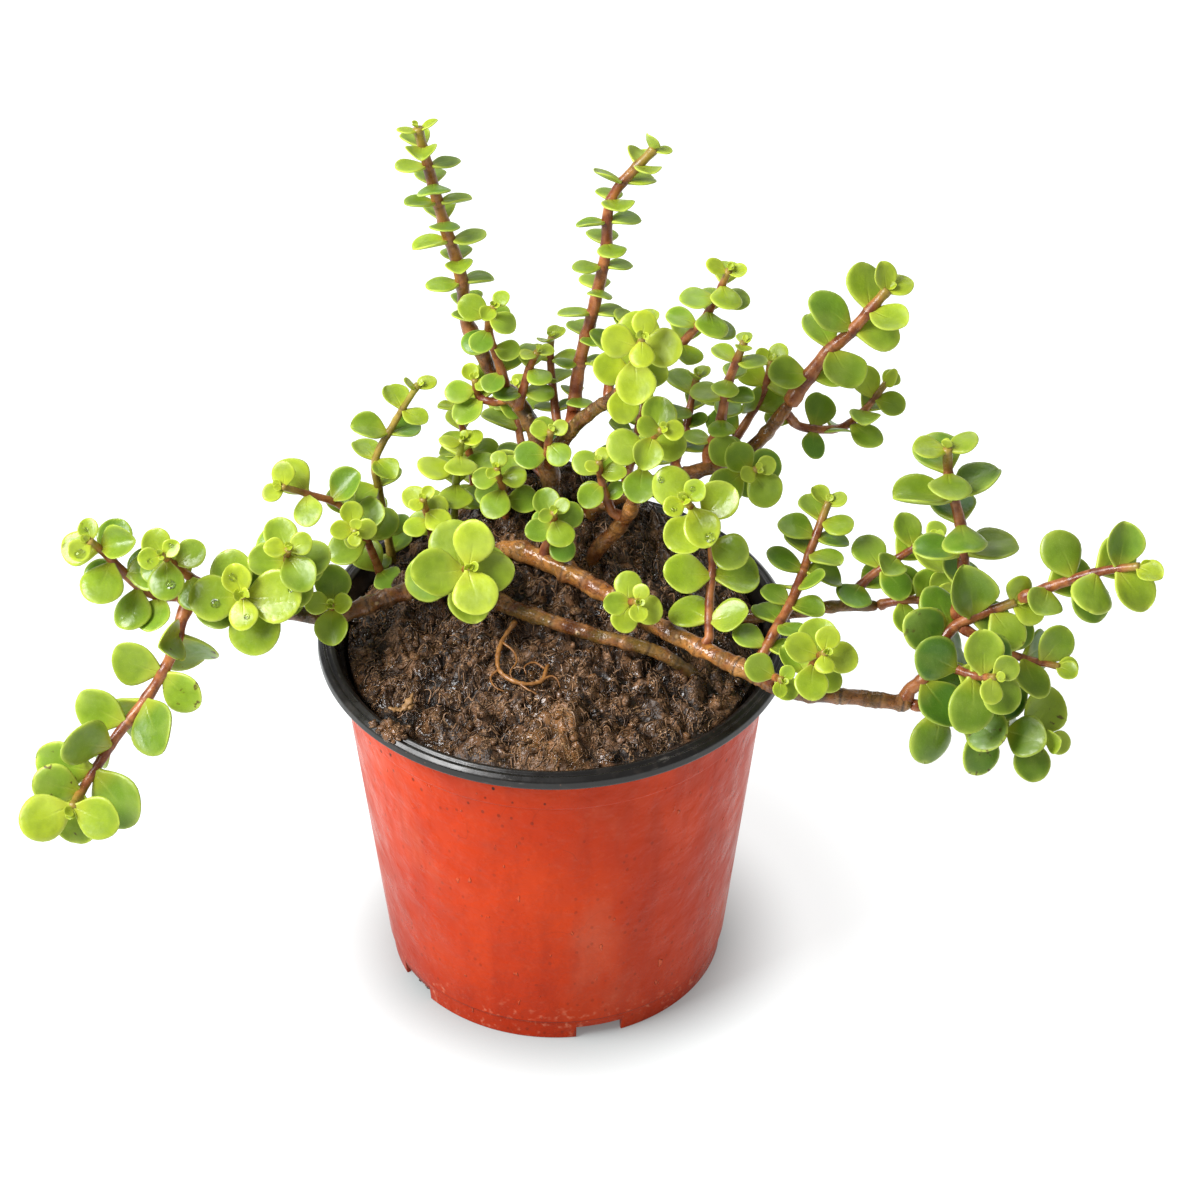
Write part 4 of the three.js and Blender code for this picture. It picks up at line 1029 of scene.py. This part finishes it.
SHOOTS = {
    "tall_left": Shoot(12, 10, 10, "-27 38 217, -29 39 236, -34 41 254, -41 45 284",
        tilt=-12, girth=2.3, fresh=0.3, green=0.08),
    "left_side": Shoot(11, 5, 60, "-15 29 200, -19 27 217, -20 23 228, -18 17 238"),
    "fork_a": Shoot(11, 3, 20, "-11 27 193, -8 27 206, -5 24 216", tilt=5),
    "fork_b": Shoot(11, 4, 70, "1 26 186, -1 38 199, -1 42 209", tilt=0),
    "tall_right": Shoot(11, 12, 15, "6 26 191, 8 32 206, 12 35 223, 16 39 242, 18 43 260, 31 46 276",
        tilt=-12, girth=2.3, fresh=0.3),
    "pale_rosette": Shoot(14.5, 5, 90, "20 8 211, 23 4 221, 25 -2 233, 27 -9 244",
        tilt=50, tip=0.7, fresh=0.75),
    "top": Shoot(12, 6, 0, "36 9 225, 43 10 234, 48 10 242, 53 8 257", tilt=10, fresh=0.32),
    "scarred": Shoot(11, 6, 80, "48 29 173, 52 29 186, 54 30 199, 59 32 214", tilt=5, girth=1.9),
    "stout": Shoot(16.5, 5, 35, "77 38 192, 85 41 203, 93 44 210, 104 49 222", tilt=35, girth=2.5),
    "upper_right": Shoot(12, 7, 45, "73 39 182, 78 41 175, 90 43 173, 98 47 177, 105 51 185", tilt=30),
    "back_right": Shoot(13, 4, 50, "55 34 172, 60 38 178, 66 43 188, 68 46 197", tilt=45),
    "back_front": Shoot(13, 4, 25, "54.5 24.4 173.6, 57 19 175, 60 14 177, 63 9 182", tilt=50),
    "right": Shoot(12.5, 9, 25, "63 -39 144, 68 -32 150, 74 -22 156, 80 -8 165, 85 0 176",
        tilt=20, girth=1.9),
    "rim_right": Shoot(14, 4, 75, "75 -50 144, 78 -52 151, 80 -56 159, 82 -62 166", tilt=45, fresh=0.5),
    "right_foot": Shoot(11, 2, 70, "66 -48.3 145.4, 67.5 -52 148.3, 69.5 -56.5 150.8", tilt=50),
    "wet_rosette": Shoot(15.5, 6, 35, "48 -31 147, 48 -24 155, 49 -16 166, 47 -15 178, 42 -20 189, "
        "40 -27 197", tilt=50, fresh=0.45, drops=4),
    "centre_crown": Shoot(14, 4, 0, "27 2 184, 28 0 193, 30 -4 203, 33 -10 211", tilt=45, fresh=0.35),
    "centre_left": Shoot(10.5, 4, 60, "18 8.3 166, 16 9 172, 14.5 9 179, 14 8 186", tilt=40),
    "trunk_front": Shoot(11, 3, 20, "-2 20.5 175, -2 18.5 183, -1 17 191", tilt=45),
    "centre_low": Shoot(10.5, 4, 30, "-3 4 155, 0 4 161, 0 2 167, 0 -1 173", tilt=45),
    "front_rosette": Shoot(19, 4, 95, "-30 -3 147, -29 -8 153, -28 -13 159, -26 -19 165",
        tilt=50, tip=0.78, fresh=0.42),
    "left_upright": Shoot(14, 5, 5, "-33 32 130, -32 31 150, -31 31 164, -29 30 178",
        tilt=5, bare=22, fresh=0.4, green=0.9),
    "left_back": Shoot(12, 7, 40, "-52 34 124, -56 37 152, -57 38 164, -51 41 176, -43 43 190",
        tilt=20, fresh=0.36, green=0.4),
    "trunk_left": Shoot(12, 4, 60, "-14 35 190, -20 38 187, -24 40 188, -25 39 195", tilt=40),
    "left_tuft": Shoot(12, 4, 15, "-25 47 134, -27 46 158, -29 46 169, -31 46 180",
        tilt=5, bare=14, fresh=0.4),
    "left_inner": Shoot(10, 4, 50, "-38 17 132, -39 14 156, -40 12 163, -41 10 170",
        tilt=40, bare=20, fresh=0.5),
    "left_mid": Shoot(11, 4, 75, "-15 27 136, -16 22 162, -17 20 169, -18 18 176", tilt=35, bare=24),
    "left_low": Shoot(14.5, 6, 30, "-53 22 122, -61 22 148, -68 20 160, -77 16 167, -85 12 173",
        tilt=40, bare=10, fresh=0.36),
    "left_small": Shoot(8, 4, 90, "-63 18 151, -63 14 156, -63 9 159, -62 3 162",
        tilt=45, girth=1.5, fresh=0.6, green=0.7),
    "rim_left": Shoot(14, 6, 15, "-88 -12 151, -84 -14 158, -82 -19 167, -81 -24 176", tilt=40),
    "left_wood": Shoot(14, 2, 5, "-68 -14 143.9, -68.5 -16.5 147.5, -69 -20 151", tilt=50),
    "left_rosette": Shoot(19, 4, 100, "-95 -19 153, -95 -24 157, -95 -28 160, -95 -32 164",
        tilt=50, fresh=0.4, drops=4),
    "left_outer": Shoot(13, 4, 20, "-109 -19 159, -113 -21 164, -117 -24 171, -119 -31 179",
        tilt=45, drops=3),
    "left_end": Shoot(15, 6, 70, "-116 -18 153, -124 -17 153, -130 -17 158, -138 -18 170, -142 -21 177",
        tilt=45, girth=1.85, spots=0.5, drops=2),
    "trailing": Shoot(20, 8, 0, "-115 -24 149, -118 -30 140, -125 -36 129, -135 -44 119, -141 -50 112, "
        "-146 -57 107, -148 -66 108", tilt=55, girth=2.1, tip=0.8, deep=0.3, spots=1),
    "right_low": Shoot(18, 6, 50, "113 -50 135, 120 -50 133, 131 -51 129, 146 -52 125, 152 -54 125",
        tilt=55, girth=1.7, fresh=0.05, deep=0.7, spots=0.9),
    "right_arm": Shoot(18, 6, 15, "109 -48 140, 114 -47 145, 118 -42 152, 124 -38 158, 141 -36 165",
        tilt=55, girth=2.2, fresh=0.08, deep=0.6, spots=0.6),
    "right_front": Shoot(18, 4, 45, "120 -46 149, 124 -51 150, 129 -55 151, 134 -59 154",
        tilt=55, fresh=0.1, deep=0.5),
    "right_side": Shoot(15, 5, 65, "128 -39 155, 137 -41 150, 146 -42 147, 155 -44 146",
        tilt=55, fresh=0.05, deep=0.7),
    "far_right": Shoot(16.5, 5, 80, "146 -36 168, 155 -38 174, 167 -40 180, 177 -43 184",
        tilt=55, girth=1.9, fresh=0.12, deep=0.4),
    "right_upright": Shoot(18, 6, 10, "124 -34 162, 125 -31 173, 124 -26 186, 120 -22 201, 119 -21 212",
        tilt=10, girth=2.2, fresh=0.12, deep=0.4),
    "right_mid": Shoot(13.5, 5, 55, "92 -13 149, 98 -12 156, 106 -12 163, 116 -13 172", tilt=30, fresh=0.15),
    "low_tip": Shoot(12.5, 4, 30, "103 -15 148, 109 -16 150, 115 -17 151, 121 -20 154", tilt=45),
    "centre_small": Shoot(11.5, 3, 85, "22 -16 149, 23 -21 153, 24 -26 157, 26 -31 161", tilt=50, fresh=0.5),
    "back_upper": Shoot(14, 4, 25, "17 17 208, 20 22 211, 24 27 216, 26 31 223", tilt=10, deep=0.3),
    "back_middle": Shoot(12, 5, 65, "38 31 168, 41 38 174, 43 44 182, 45 48 190",
        tilt=5, fresh=0.1, deep=0.5),
    "behind_left": Shoot(14, 5, 35, "-5 30 166, -10 42 165, -12 54 168, -13 63 175", tilt=10, deep=0.7),
    "behind_right": Shoot(14, 5, 75, "22 27 162, 24 40 161, 26 52 164, 28 61 171", tilt=5, deep=0.7),
}
SHOOT_TIP = 0.68
NODE_HEIGHT = 1.3
PAIR_CROWDING = 0.85
SIDEWAYS_SHARE = 0.75
LEAF_CURL = 0.1
LIGHT_PULL = 0.7
LEVELLING = 0.7
LEAF_LEAN = 8
TIP_LEANS = [42, 26, 14]
SECOND_SIZE = 0.9
FOOT_SIZE = 0.85
TURN_SPREAD = 22
LEAN_SPREAD = 18
SIZE_SPREAD = 0.24

# Bends that a leaf may take to clear its neighbours: turn and lean in degrees, and a share of its size
LEAF_BENDS = [
    (0, 0, 1), (16, 0, 1), (-16, 0, 1), (0, 20, 1), (0, -18, 1), (28, 14, 0.9), (-28, 14, 0.9),
    (0, 36, 0.9), (0, 0, 0.75), (24, 24, 0.72), (-24, 24, 0.72), (0, 42, 0.66),
]
TIP_MATCH = 0.05


def shoot_radius(shoot, share):
    return shoot.girth * (1 + (SHOOT_TIP - 1) * share)


def pair_share(shoot, route, pair):
    first = shoot.bare / route.length
    last = 1 - NODE_HEIGHT / route.length
    return first + (last - first) * (pair / (shoot.pairs - 1)) ** PAIR_CROWDING


def square_to(axis, vector):
    """The part of a vector that stands square to an axis, at length 1."""
    return unit(vector - axis * vector.dot(axis))


def outward(route, tangent, degrees):
    """The direction out of a stem at a turn round it."""
    chord = unit(route.points[-2] - route.points[1])
    reference = [1.0, 0, 0] if abs(chord[0]) < SIDEWAYS_SHARE else [0, 0, 1.0]
    right = square_to(tangent, np.array(reference))
    angle = math.radians(degrees)
    return right * math.cos(angle) + np.cross(tangent, right) * math.sin(angle)


class Leaf(NamedTuple):
    centre: np.ndarray
    direction: np.ndarray
    normal: np.ndarray
    length: float
    curl: float
    stem_radius: float
    from_tip: int


def grow_leaf(shoot, route, share, turn, lean, length, curl, from_tip):
    """A leaf at a share of its shoot. It is levelled and turned to face the light."""
    tangent = route.tangent(share)
    tilt, lean = math.radians(shoot.tilt), math.radians(lean)
    light = np.array([0, -math.sin(tilt), math.cos(tilt)])
    direction = outward(route, tangent, turn) * math.cos(lean) + tangent * math.sin(lean)
    direction = unit(direction - light * LEVELLING * direction.dot(light))
    normal = square_to(direction, tangent) * (1 - LIGHT_PULL) + square_to(direction, light) * LIGHT_PULL
    return Leaf(route.at(share), direction, unit(normal), length, curl, shoot_radius(shoot, share), from_tip)


def place_leaf(shoot, route, pair, side, draws, bend):
    bend_turn, bend_lean, bend_size = bend
    share = pair_share(shoot, route, pair)
    from_tip = shoot.pairs - 1 - pair
    turn = shoot.turn + 90 * from_tip + 180 * side + (draws[0] - 0.5) * TURN_SPREAD + bend_turn
    lean_by_age = TIP_LEANS[from_tip] if from_tip < len(TIP_LEANS) else LEAF_LEAN
    lean = lean_by_age + (draws[1] - 0.5) * LEAN_SPREAD + bend_lean
    tip_sizes = [shoot.tip, SECOND_SIZE]
    grown = tip_sizes[from_tip] if from_tip < len(tip_sizes) else FOOT_SIZE + (1 - FOOT_SIZE) * share
    length = shoot.leaf * grown * (1 + (draws[2] - 0.5) * SIZE_SPREAD) * bend_size
    curl = (draws[3] - 0.5) * 2 * LEAF_CURL
    return grow_leaf(shoot, route, share, turn, lean, length, curl, from_tip)


def find_leaves(node, shoot, route, all_draws):
    """The leaves that the solid has: for each, the first bend that puts its tip on a corner of the mesh."""
    corners = [vertex.co / MM for vertex in node.data.vertices]
    tree = KDTree(len(corners))
    for index, corner in enumerate(corners):
        tree.insert(corner, index)
    tree.balance()
    leaves = []
    for pair in range(shoot.pairs):
        for side in (0, 1):
            draws = [next(all_draws) for _ in range(4)]
            for bend in LEAF_BENDS:
                leaf = place_leaf(shoot, route, pair, side, draws, bend)
                tip = leaf.centre + (leaf.direction + leaf.normal * leaf.curl) * leaf.length
                if tree.find(Vector(tip))[2] < TIP_MATCH:
                    leaves.append(leaf)
                    break
    return leaves


# Leaf: a fleshy blade from rounded cross-sections, widest at its middle, on a short broad neck

LEAF_STATIONS = 15
LEAF_SIDES = 18
NECK_WIDTH = 0.09
BLADE_START = 0.05
BLADE_WIDTH = 0.445
BLADE_BALANCE = 1.14
NECK_FULLNESS = 0.68
TIP_FULLNESS = 0.46
BLADE_THICKNESS = 0.105
SECTION_POWER = 0.8
MARGIN_WIDTH = 0.2
YOUTH_BY_AGE = (0.55, 0.26, 0.1, 0)


def blade_width(along):
    """Half the width of the blade, as a share of the leaf's length."""
    share = np.clip((along - BLADE_START) / (1 - BLADE_START), 0, 1)
    fullness = NECK_FULLNESS + (TIP_FULLNESS - NECK_FULLNESS) * share
    blade = BLADE_WIDTH * np.abs(np.sin(math.pi * share ** BLADE_BALANCE)) ** fullness
    return np.hypot(blade, NECK_WIDTH * (1 - share))


def squared(waves):
    """A sine or cosine made a little blunter."""
    return np.sign(waves) * np.abs(waves) ** SECTION_POWER


def add_leaf(shape, leaf, shoot, random):
    """Adds one leaf, and returns the points down the middle of its upper side."""
    start = leaf.stem_radius * 0.5 / leaf.length
    spacing = (1 - np.cos(np.linspace(0, math.pi, LEAF_STATIONS))) / 2
    along = (start + (1 - start) * spacing)[:, None]
    across = squared(np.cos(turns(LEAF_SIDES)))[None]
    lift = squared(np.sin(turns(LEAF_SIDES)))[None]
    width = blade_width(along) * random.uniform(0.93, 1.05)
    thick = BLADE_THICKNESS / 2 * np.sqrt(np.clip(1 - along ** 7, 0, 1)) * (1 + 0.3 * (1 - along))
    cup = random.normal(0.14, 0.16)
    fold = max(0, random.normal(0.02, 0.14))
    twist = math.radians(random.normal(0, 8)) * along
    wave = 0.014 * np.sin(along * 8 + random.uniform(0, 6)) * across ** 3
    side = width * across + random.normal(0, 0.03) * np.sin(math.pi * along)
    rise = thick * lift + cup * width * across ** 2 + fold * np.abs(side) + wave
    rise, side = rise * np.cos(twist) + side * np.sin(twist), side * np.cos(twist) - rise * np.sin(twist)
    rise = rise + leaf.curl * along ** 2
    length = along - max(0, random.normal(0.01, 0.025)) * np.exp(-(across / 0.28) ** 2) * along ** 8
    axes = (leaf.direction, np.cross(leaf.normal, leaf.direction), leaf.normal)
    offsets = sum(part[..., None] * axis for part, axis in zip((length, side, rise), axes))
    points = leaf.centre + leaf.length * offsets
    margin = np.minimum(width * (1 - np.abs(across)), 1 - along)
    edge = 1 - np.clip(margin / MARGIN_WIDTH, 0, 1)
    youth = YOUTH_BY_AGE[min(leaf.from_tip, len(YOUTH_BY_AGE) - 1)]
    youth = np.clip(shoot.fresh + youth + random.normal(0, 0.12), 0, 1)
    # How much painted shade darkens this leaf
    deep = np.clip(shoot.deep + random.normal(0, 0.2), 0, 1)
    rows = np.broadcast_arrays(along, across, edge, youth, random.uniform(), lift < -0.3)
    shape.add(points, ring_faces(LEAF_STATIONS, LEAF_SIDES), blade=np.stack(rows[:3], axis=-1),
              growth=np.stack(rows[3:], axis=-1), state=(deep, shoot.spots, shoot.drops > 0))
    return points[:, LEAF_SIDES // 4]


TWIG_SIDES = 12
TWIG_STEP = 0.9
FOOT_REACH = 8
FOOT_GIRTHS = np.array([0.5, 1.05, 1.15])
BUD_PAIRS = ((70, 0.2), (84, 0.12))
BUD_FRESHNESS = 0.25


def foot_points(route):
    """Where a stem comes from: the heart of the limb that it grows on, or straight back into the soil."""
    start = route.at(0)
    nearest = min(LIMB_POINTS, key=lambda point: np.linalg.norm(point - start))
    if np.linalg.norm(nearest - start) > FOOT_REACH:
        nearest = start - route.tangent(0) * FOOT_REACH / 2
    return [nearest + (nearest - start) * 0.2, nearest, (nearest + start) / 2]


def add_twig(shape, shoot, route, random):
    """The young stem, carried back into what it grows from, with a slight ring at each pair of leaves."""
    shares = np.linspace(0, 1, round(route.length / TWIG_STEP) + 1)
    along = shares * route.length
    places = np.array([pair_share(shoot, route, pair) for pair in range(shoot.pairs)]) * route.length
    away = np.abs(along[:, None] - places[None]).min(axis=1)
    phase = random.uniform(0, 50)
    wander = 0.12 * np.array([noise.noise((place / 4, phase, 2)) for place in along])
    radii = shoot_radius(shoot, shares) * (0.95 + 0.12 * hump(away, 1.1) + wander)
    foot = np.zeros(len(FOOT_GIRTHS))
    scar = np.concatenate([foot, hump(away - 0.8, 0.35)])
    youth = np.concatenate([foot, shares])
    tube(shape, foot_points(route) + route.along(shares),
         np.concatenate([shoot.girth * FOOT_GIRTHS, radii]), TWIG_SIDES,
         bark=np.stack([scar, youth, np.full(len(youth), shoot.green)], axis=1))


def bud_leaves(shoot, route, random):
    """Two small pairs that are still opening at the tip of a shoot."""
    leaves = []
    for rank, (lean, size) in enumerate(BUD_PAIRS):
        for side in (0, 1):
            turn = shoot.turn - 90 * (rank + 1) + 180 * side + random.uniform(-14, 14)
            length = shoot.leaf * size * random.uniform(0.85, 1.15)
            leaf = grow_leaf(shoot, route, 1, turn, lean + random.uniform(-8, 8), length, LEAF_CURL, 0)
            leaves.append(leaf._replace(stem_radius=length * 0.1))
    return leaves


DROP_SIDES = 14
DROP_RINGS = ((1, -0.06), (1, 0.1), (0.9, 0.32), (0.66, 0.52), (0.33, 0.63), (0.02, 0.66))


def add_drop(shape, place, normal, radius):
    """A flat dome of water that sits on a leaf."""
    right = unit(np.cross(normal, [0.3, 0.9, 0.1]))
    up = np.cross(normal, right)
    rings = [place + radius * (normal * height + reach * (right * math.cos(angle) + up * math.sin(angle)))
             for reach, height in DROP_RINGS for angle in turns(DROP_SIDES)]
    shape.add(rings, ring_faces(len(DROP_RINGS), DROP_SIDES))


def build_shoots():
    draws = repeatable_draws()
    random = np.random.default_rng(SEED + 3)
    water = Shape()
    for short_name, shoot in SHOOTS.items():
        name = "shoot_" + short_name
        route = Route(shoot.path)
        leaves = find_leaves(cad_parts[name], shoot, route, draws)
        foliage, twig = Shape(), Shape()
        ridges = [add_leaf(foliage, leaf, shoot, random) for leaf in leaves]
        wet_from = len(leaves) - shoot.drops
        for leaf, ridge in zip(leaves[wet_from:], ridges[wet_from:]):
            place = ridge[random.integers(LEAF_STATIONS // 2, LEAF_STATIONS - 4)]
            add_drop(water, place, leaf.normal, random.uniform(0.7, 1.7))
        for leaf in bud_leaves(shoot, route, random):
            add_leaf(foliage, leaf, shoot._replace(fresh=shoot.fresh + BUD_FRESHNESS), random)
        add_twig(twig, shoot, route, random)
        add_piece(name + "_leaves", foliage, LEAF, "foliage", name)
        add_piece(name + "_stem", twig, TWIG, "bark")
    add_piece("water_drops", water, WATER, "foliage")


# Studio: the photograph's camera, a pale floor, a large soft light from the upper left and an even fill

CAMERA_ELEVATION = math.radians(38)
CAMERA_DISTANCE = 1.5
CAMERA_TARGET = Vector((0.0143, 0, 0.1375))
FOCAL_PIXELS = 4770
PHOTO_PIXELS = 1200
SENSOR_MM = 36
FLOOR_REACH = 3000
SOFT_LIGHT = 0.36


def aim(name, data, place):
    """Stands a camera or a light at a place and points it at the plant."""
    added = add_object(name, data)
    added.location = place
    added.rotation_euler = (CAMERA_TARGET - added.location).to_track_quat("-Z", "Y").to_euler()
    return added


def place_camera():
    away = Vector((0, -math.cos(CAMERA_ELEVATION), math.sin(CAMERA_ELEVATION)))
    lens = bpy.data.cameras.new("camera")
    lens.sensor_width = SENSOR_MM
    lens.lens = SENSOR_MM * FOCAL_PIXELS / PHOTO_PIXELS
    bpy.context.scene.camera = aim("camera", lens, CAMERA_TARGET + away * CAMERA_DISTANCE)


def add_floor():
    shape = Shape()
    corners = [(x * FLOOR_REACH, y * FLOOR_REACH, 0) for x, y in ((-1, -1), (1, -1), (1, 1), (-1, 1))]
    shape.add(corners, [[0, 1, 2, 3]])
    add_mesh("floor", shape, floor_material())


def add_light(name, place, size, power):
    light = bpy.data.lights.new(name, "AREA")
    light.shape = "RECTANGLE"
    light.size, light.size_y = size
    light.energy = power
    aim(name, light, place)


def light_scene():
    """A large key light from the left, a weak one from behind, and a white surround that glows softly."""
    add_light("key", (-1.2, -0.55, 1.45), (1.0, 1.0), 60)
    add_light("back", (0.2, 1.2, 1.3), (1.2, 0.6), 6)
    world = bpy.data.worlds.new("studio")
    world.use_nodes = True
    nodes = world.node_tree.nodes
    seen = nodes.new("ShaderNodeLightPath").outputs["Is Camera Ray"]
    strength = nodes.new("ShaderNodeMapRange")
    strength.inputs["To Min"].default_value = SOFT_LIGHT
    world.node_tree.links.new(seen, strength.inputs["Value"])
    world.node_tree.links.new(strength.outputs["Result"], nodes["Background"].inputs["Strength"])
    nodes["Background"].inputs["Color"].default_value = (1, 1, 1, 1)
    bpy.context.scene.world = world
    bpy.context.scene.view_settings.view_transform = "Standard"


build_pot()
build_soil()
build_crumbs()
build_spilled_soil()
build_fibres()
build_straw()
build_wood()
build_root()
build_shoots()
add_floor()
place_camera()
light_scene()
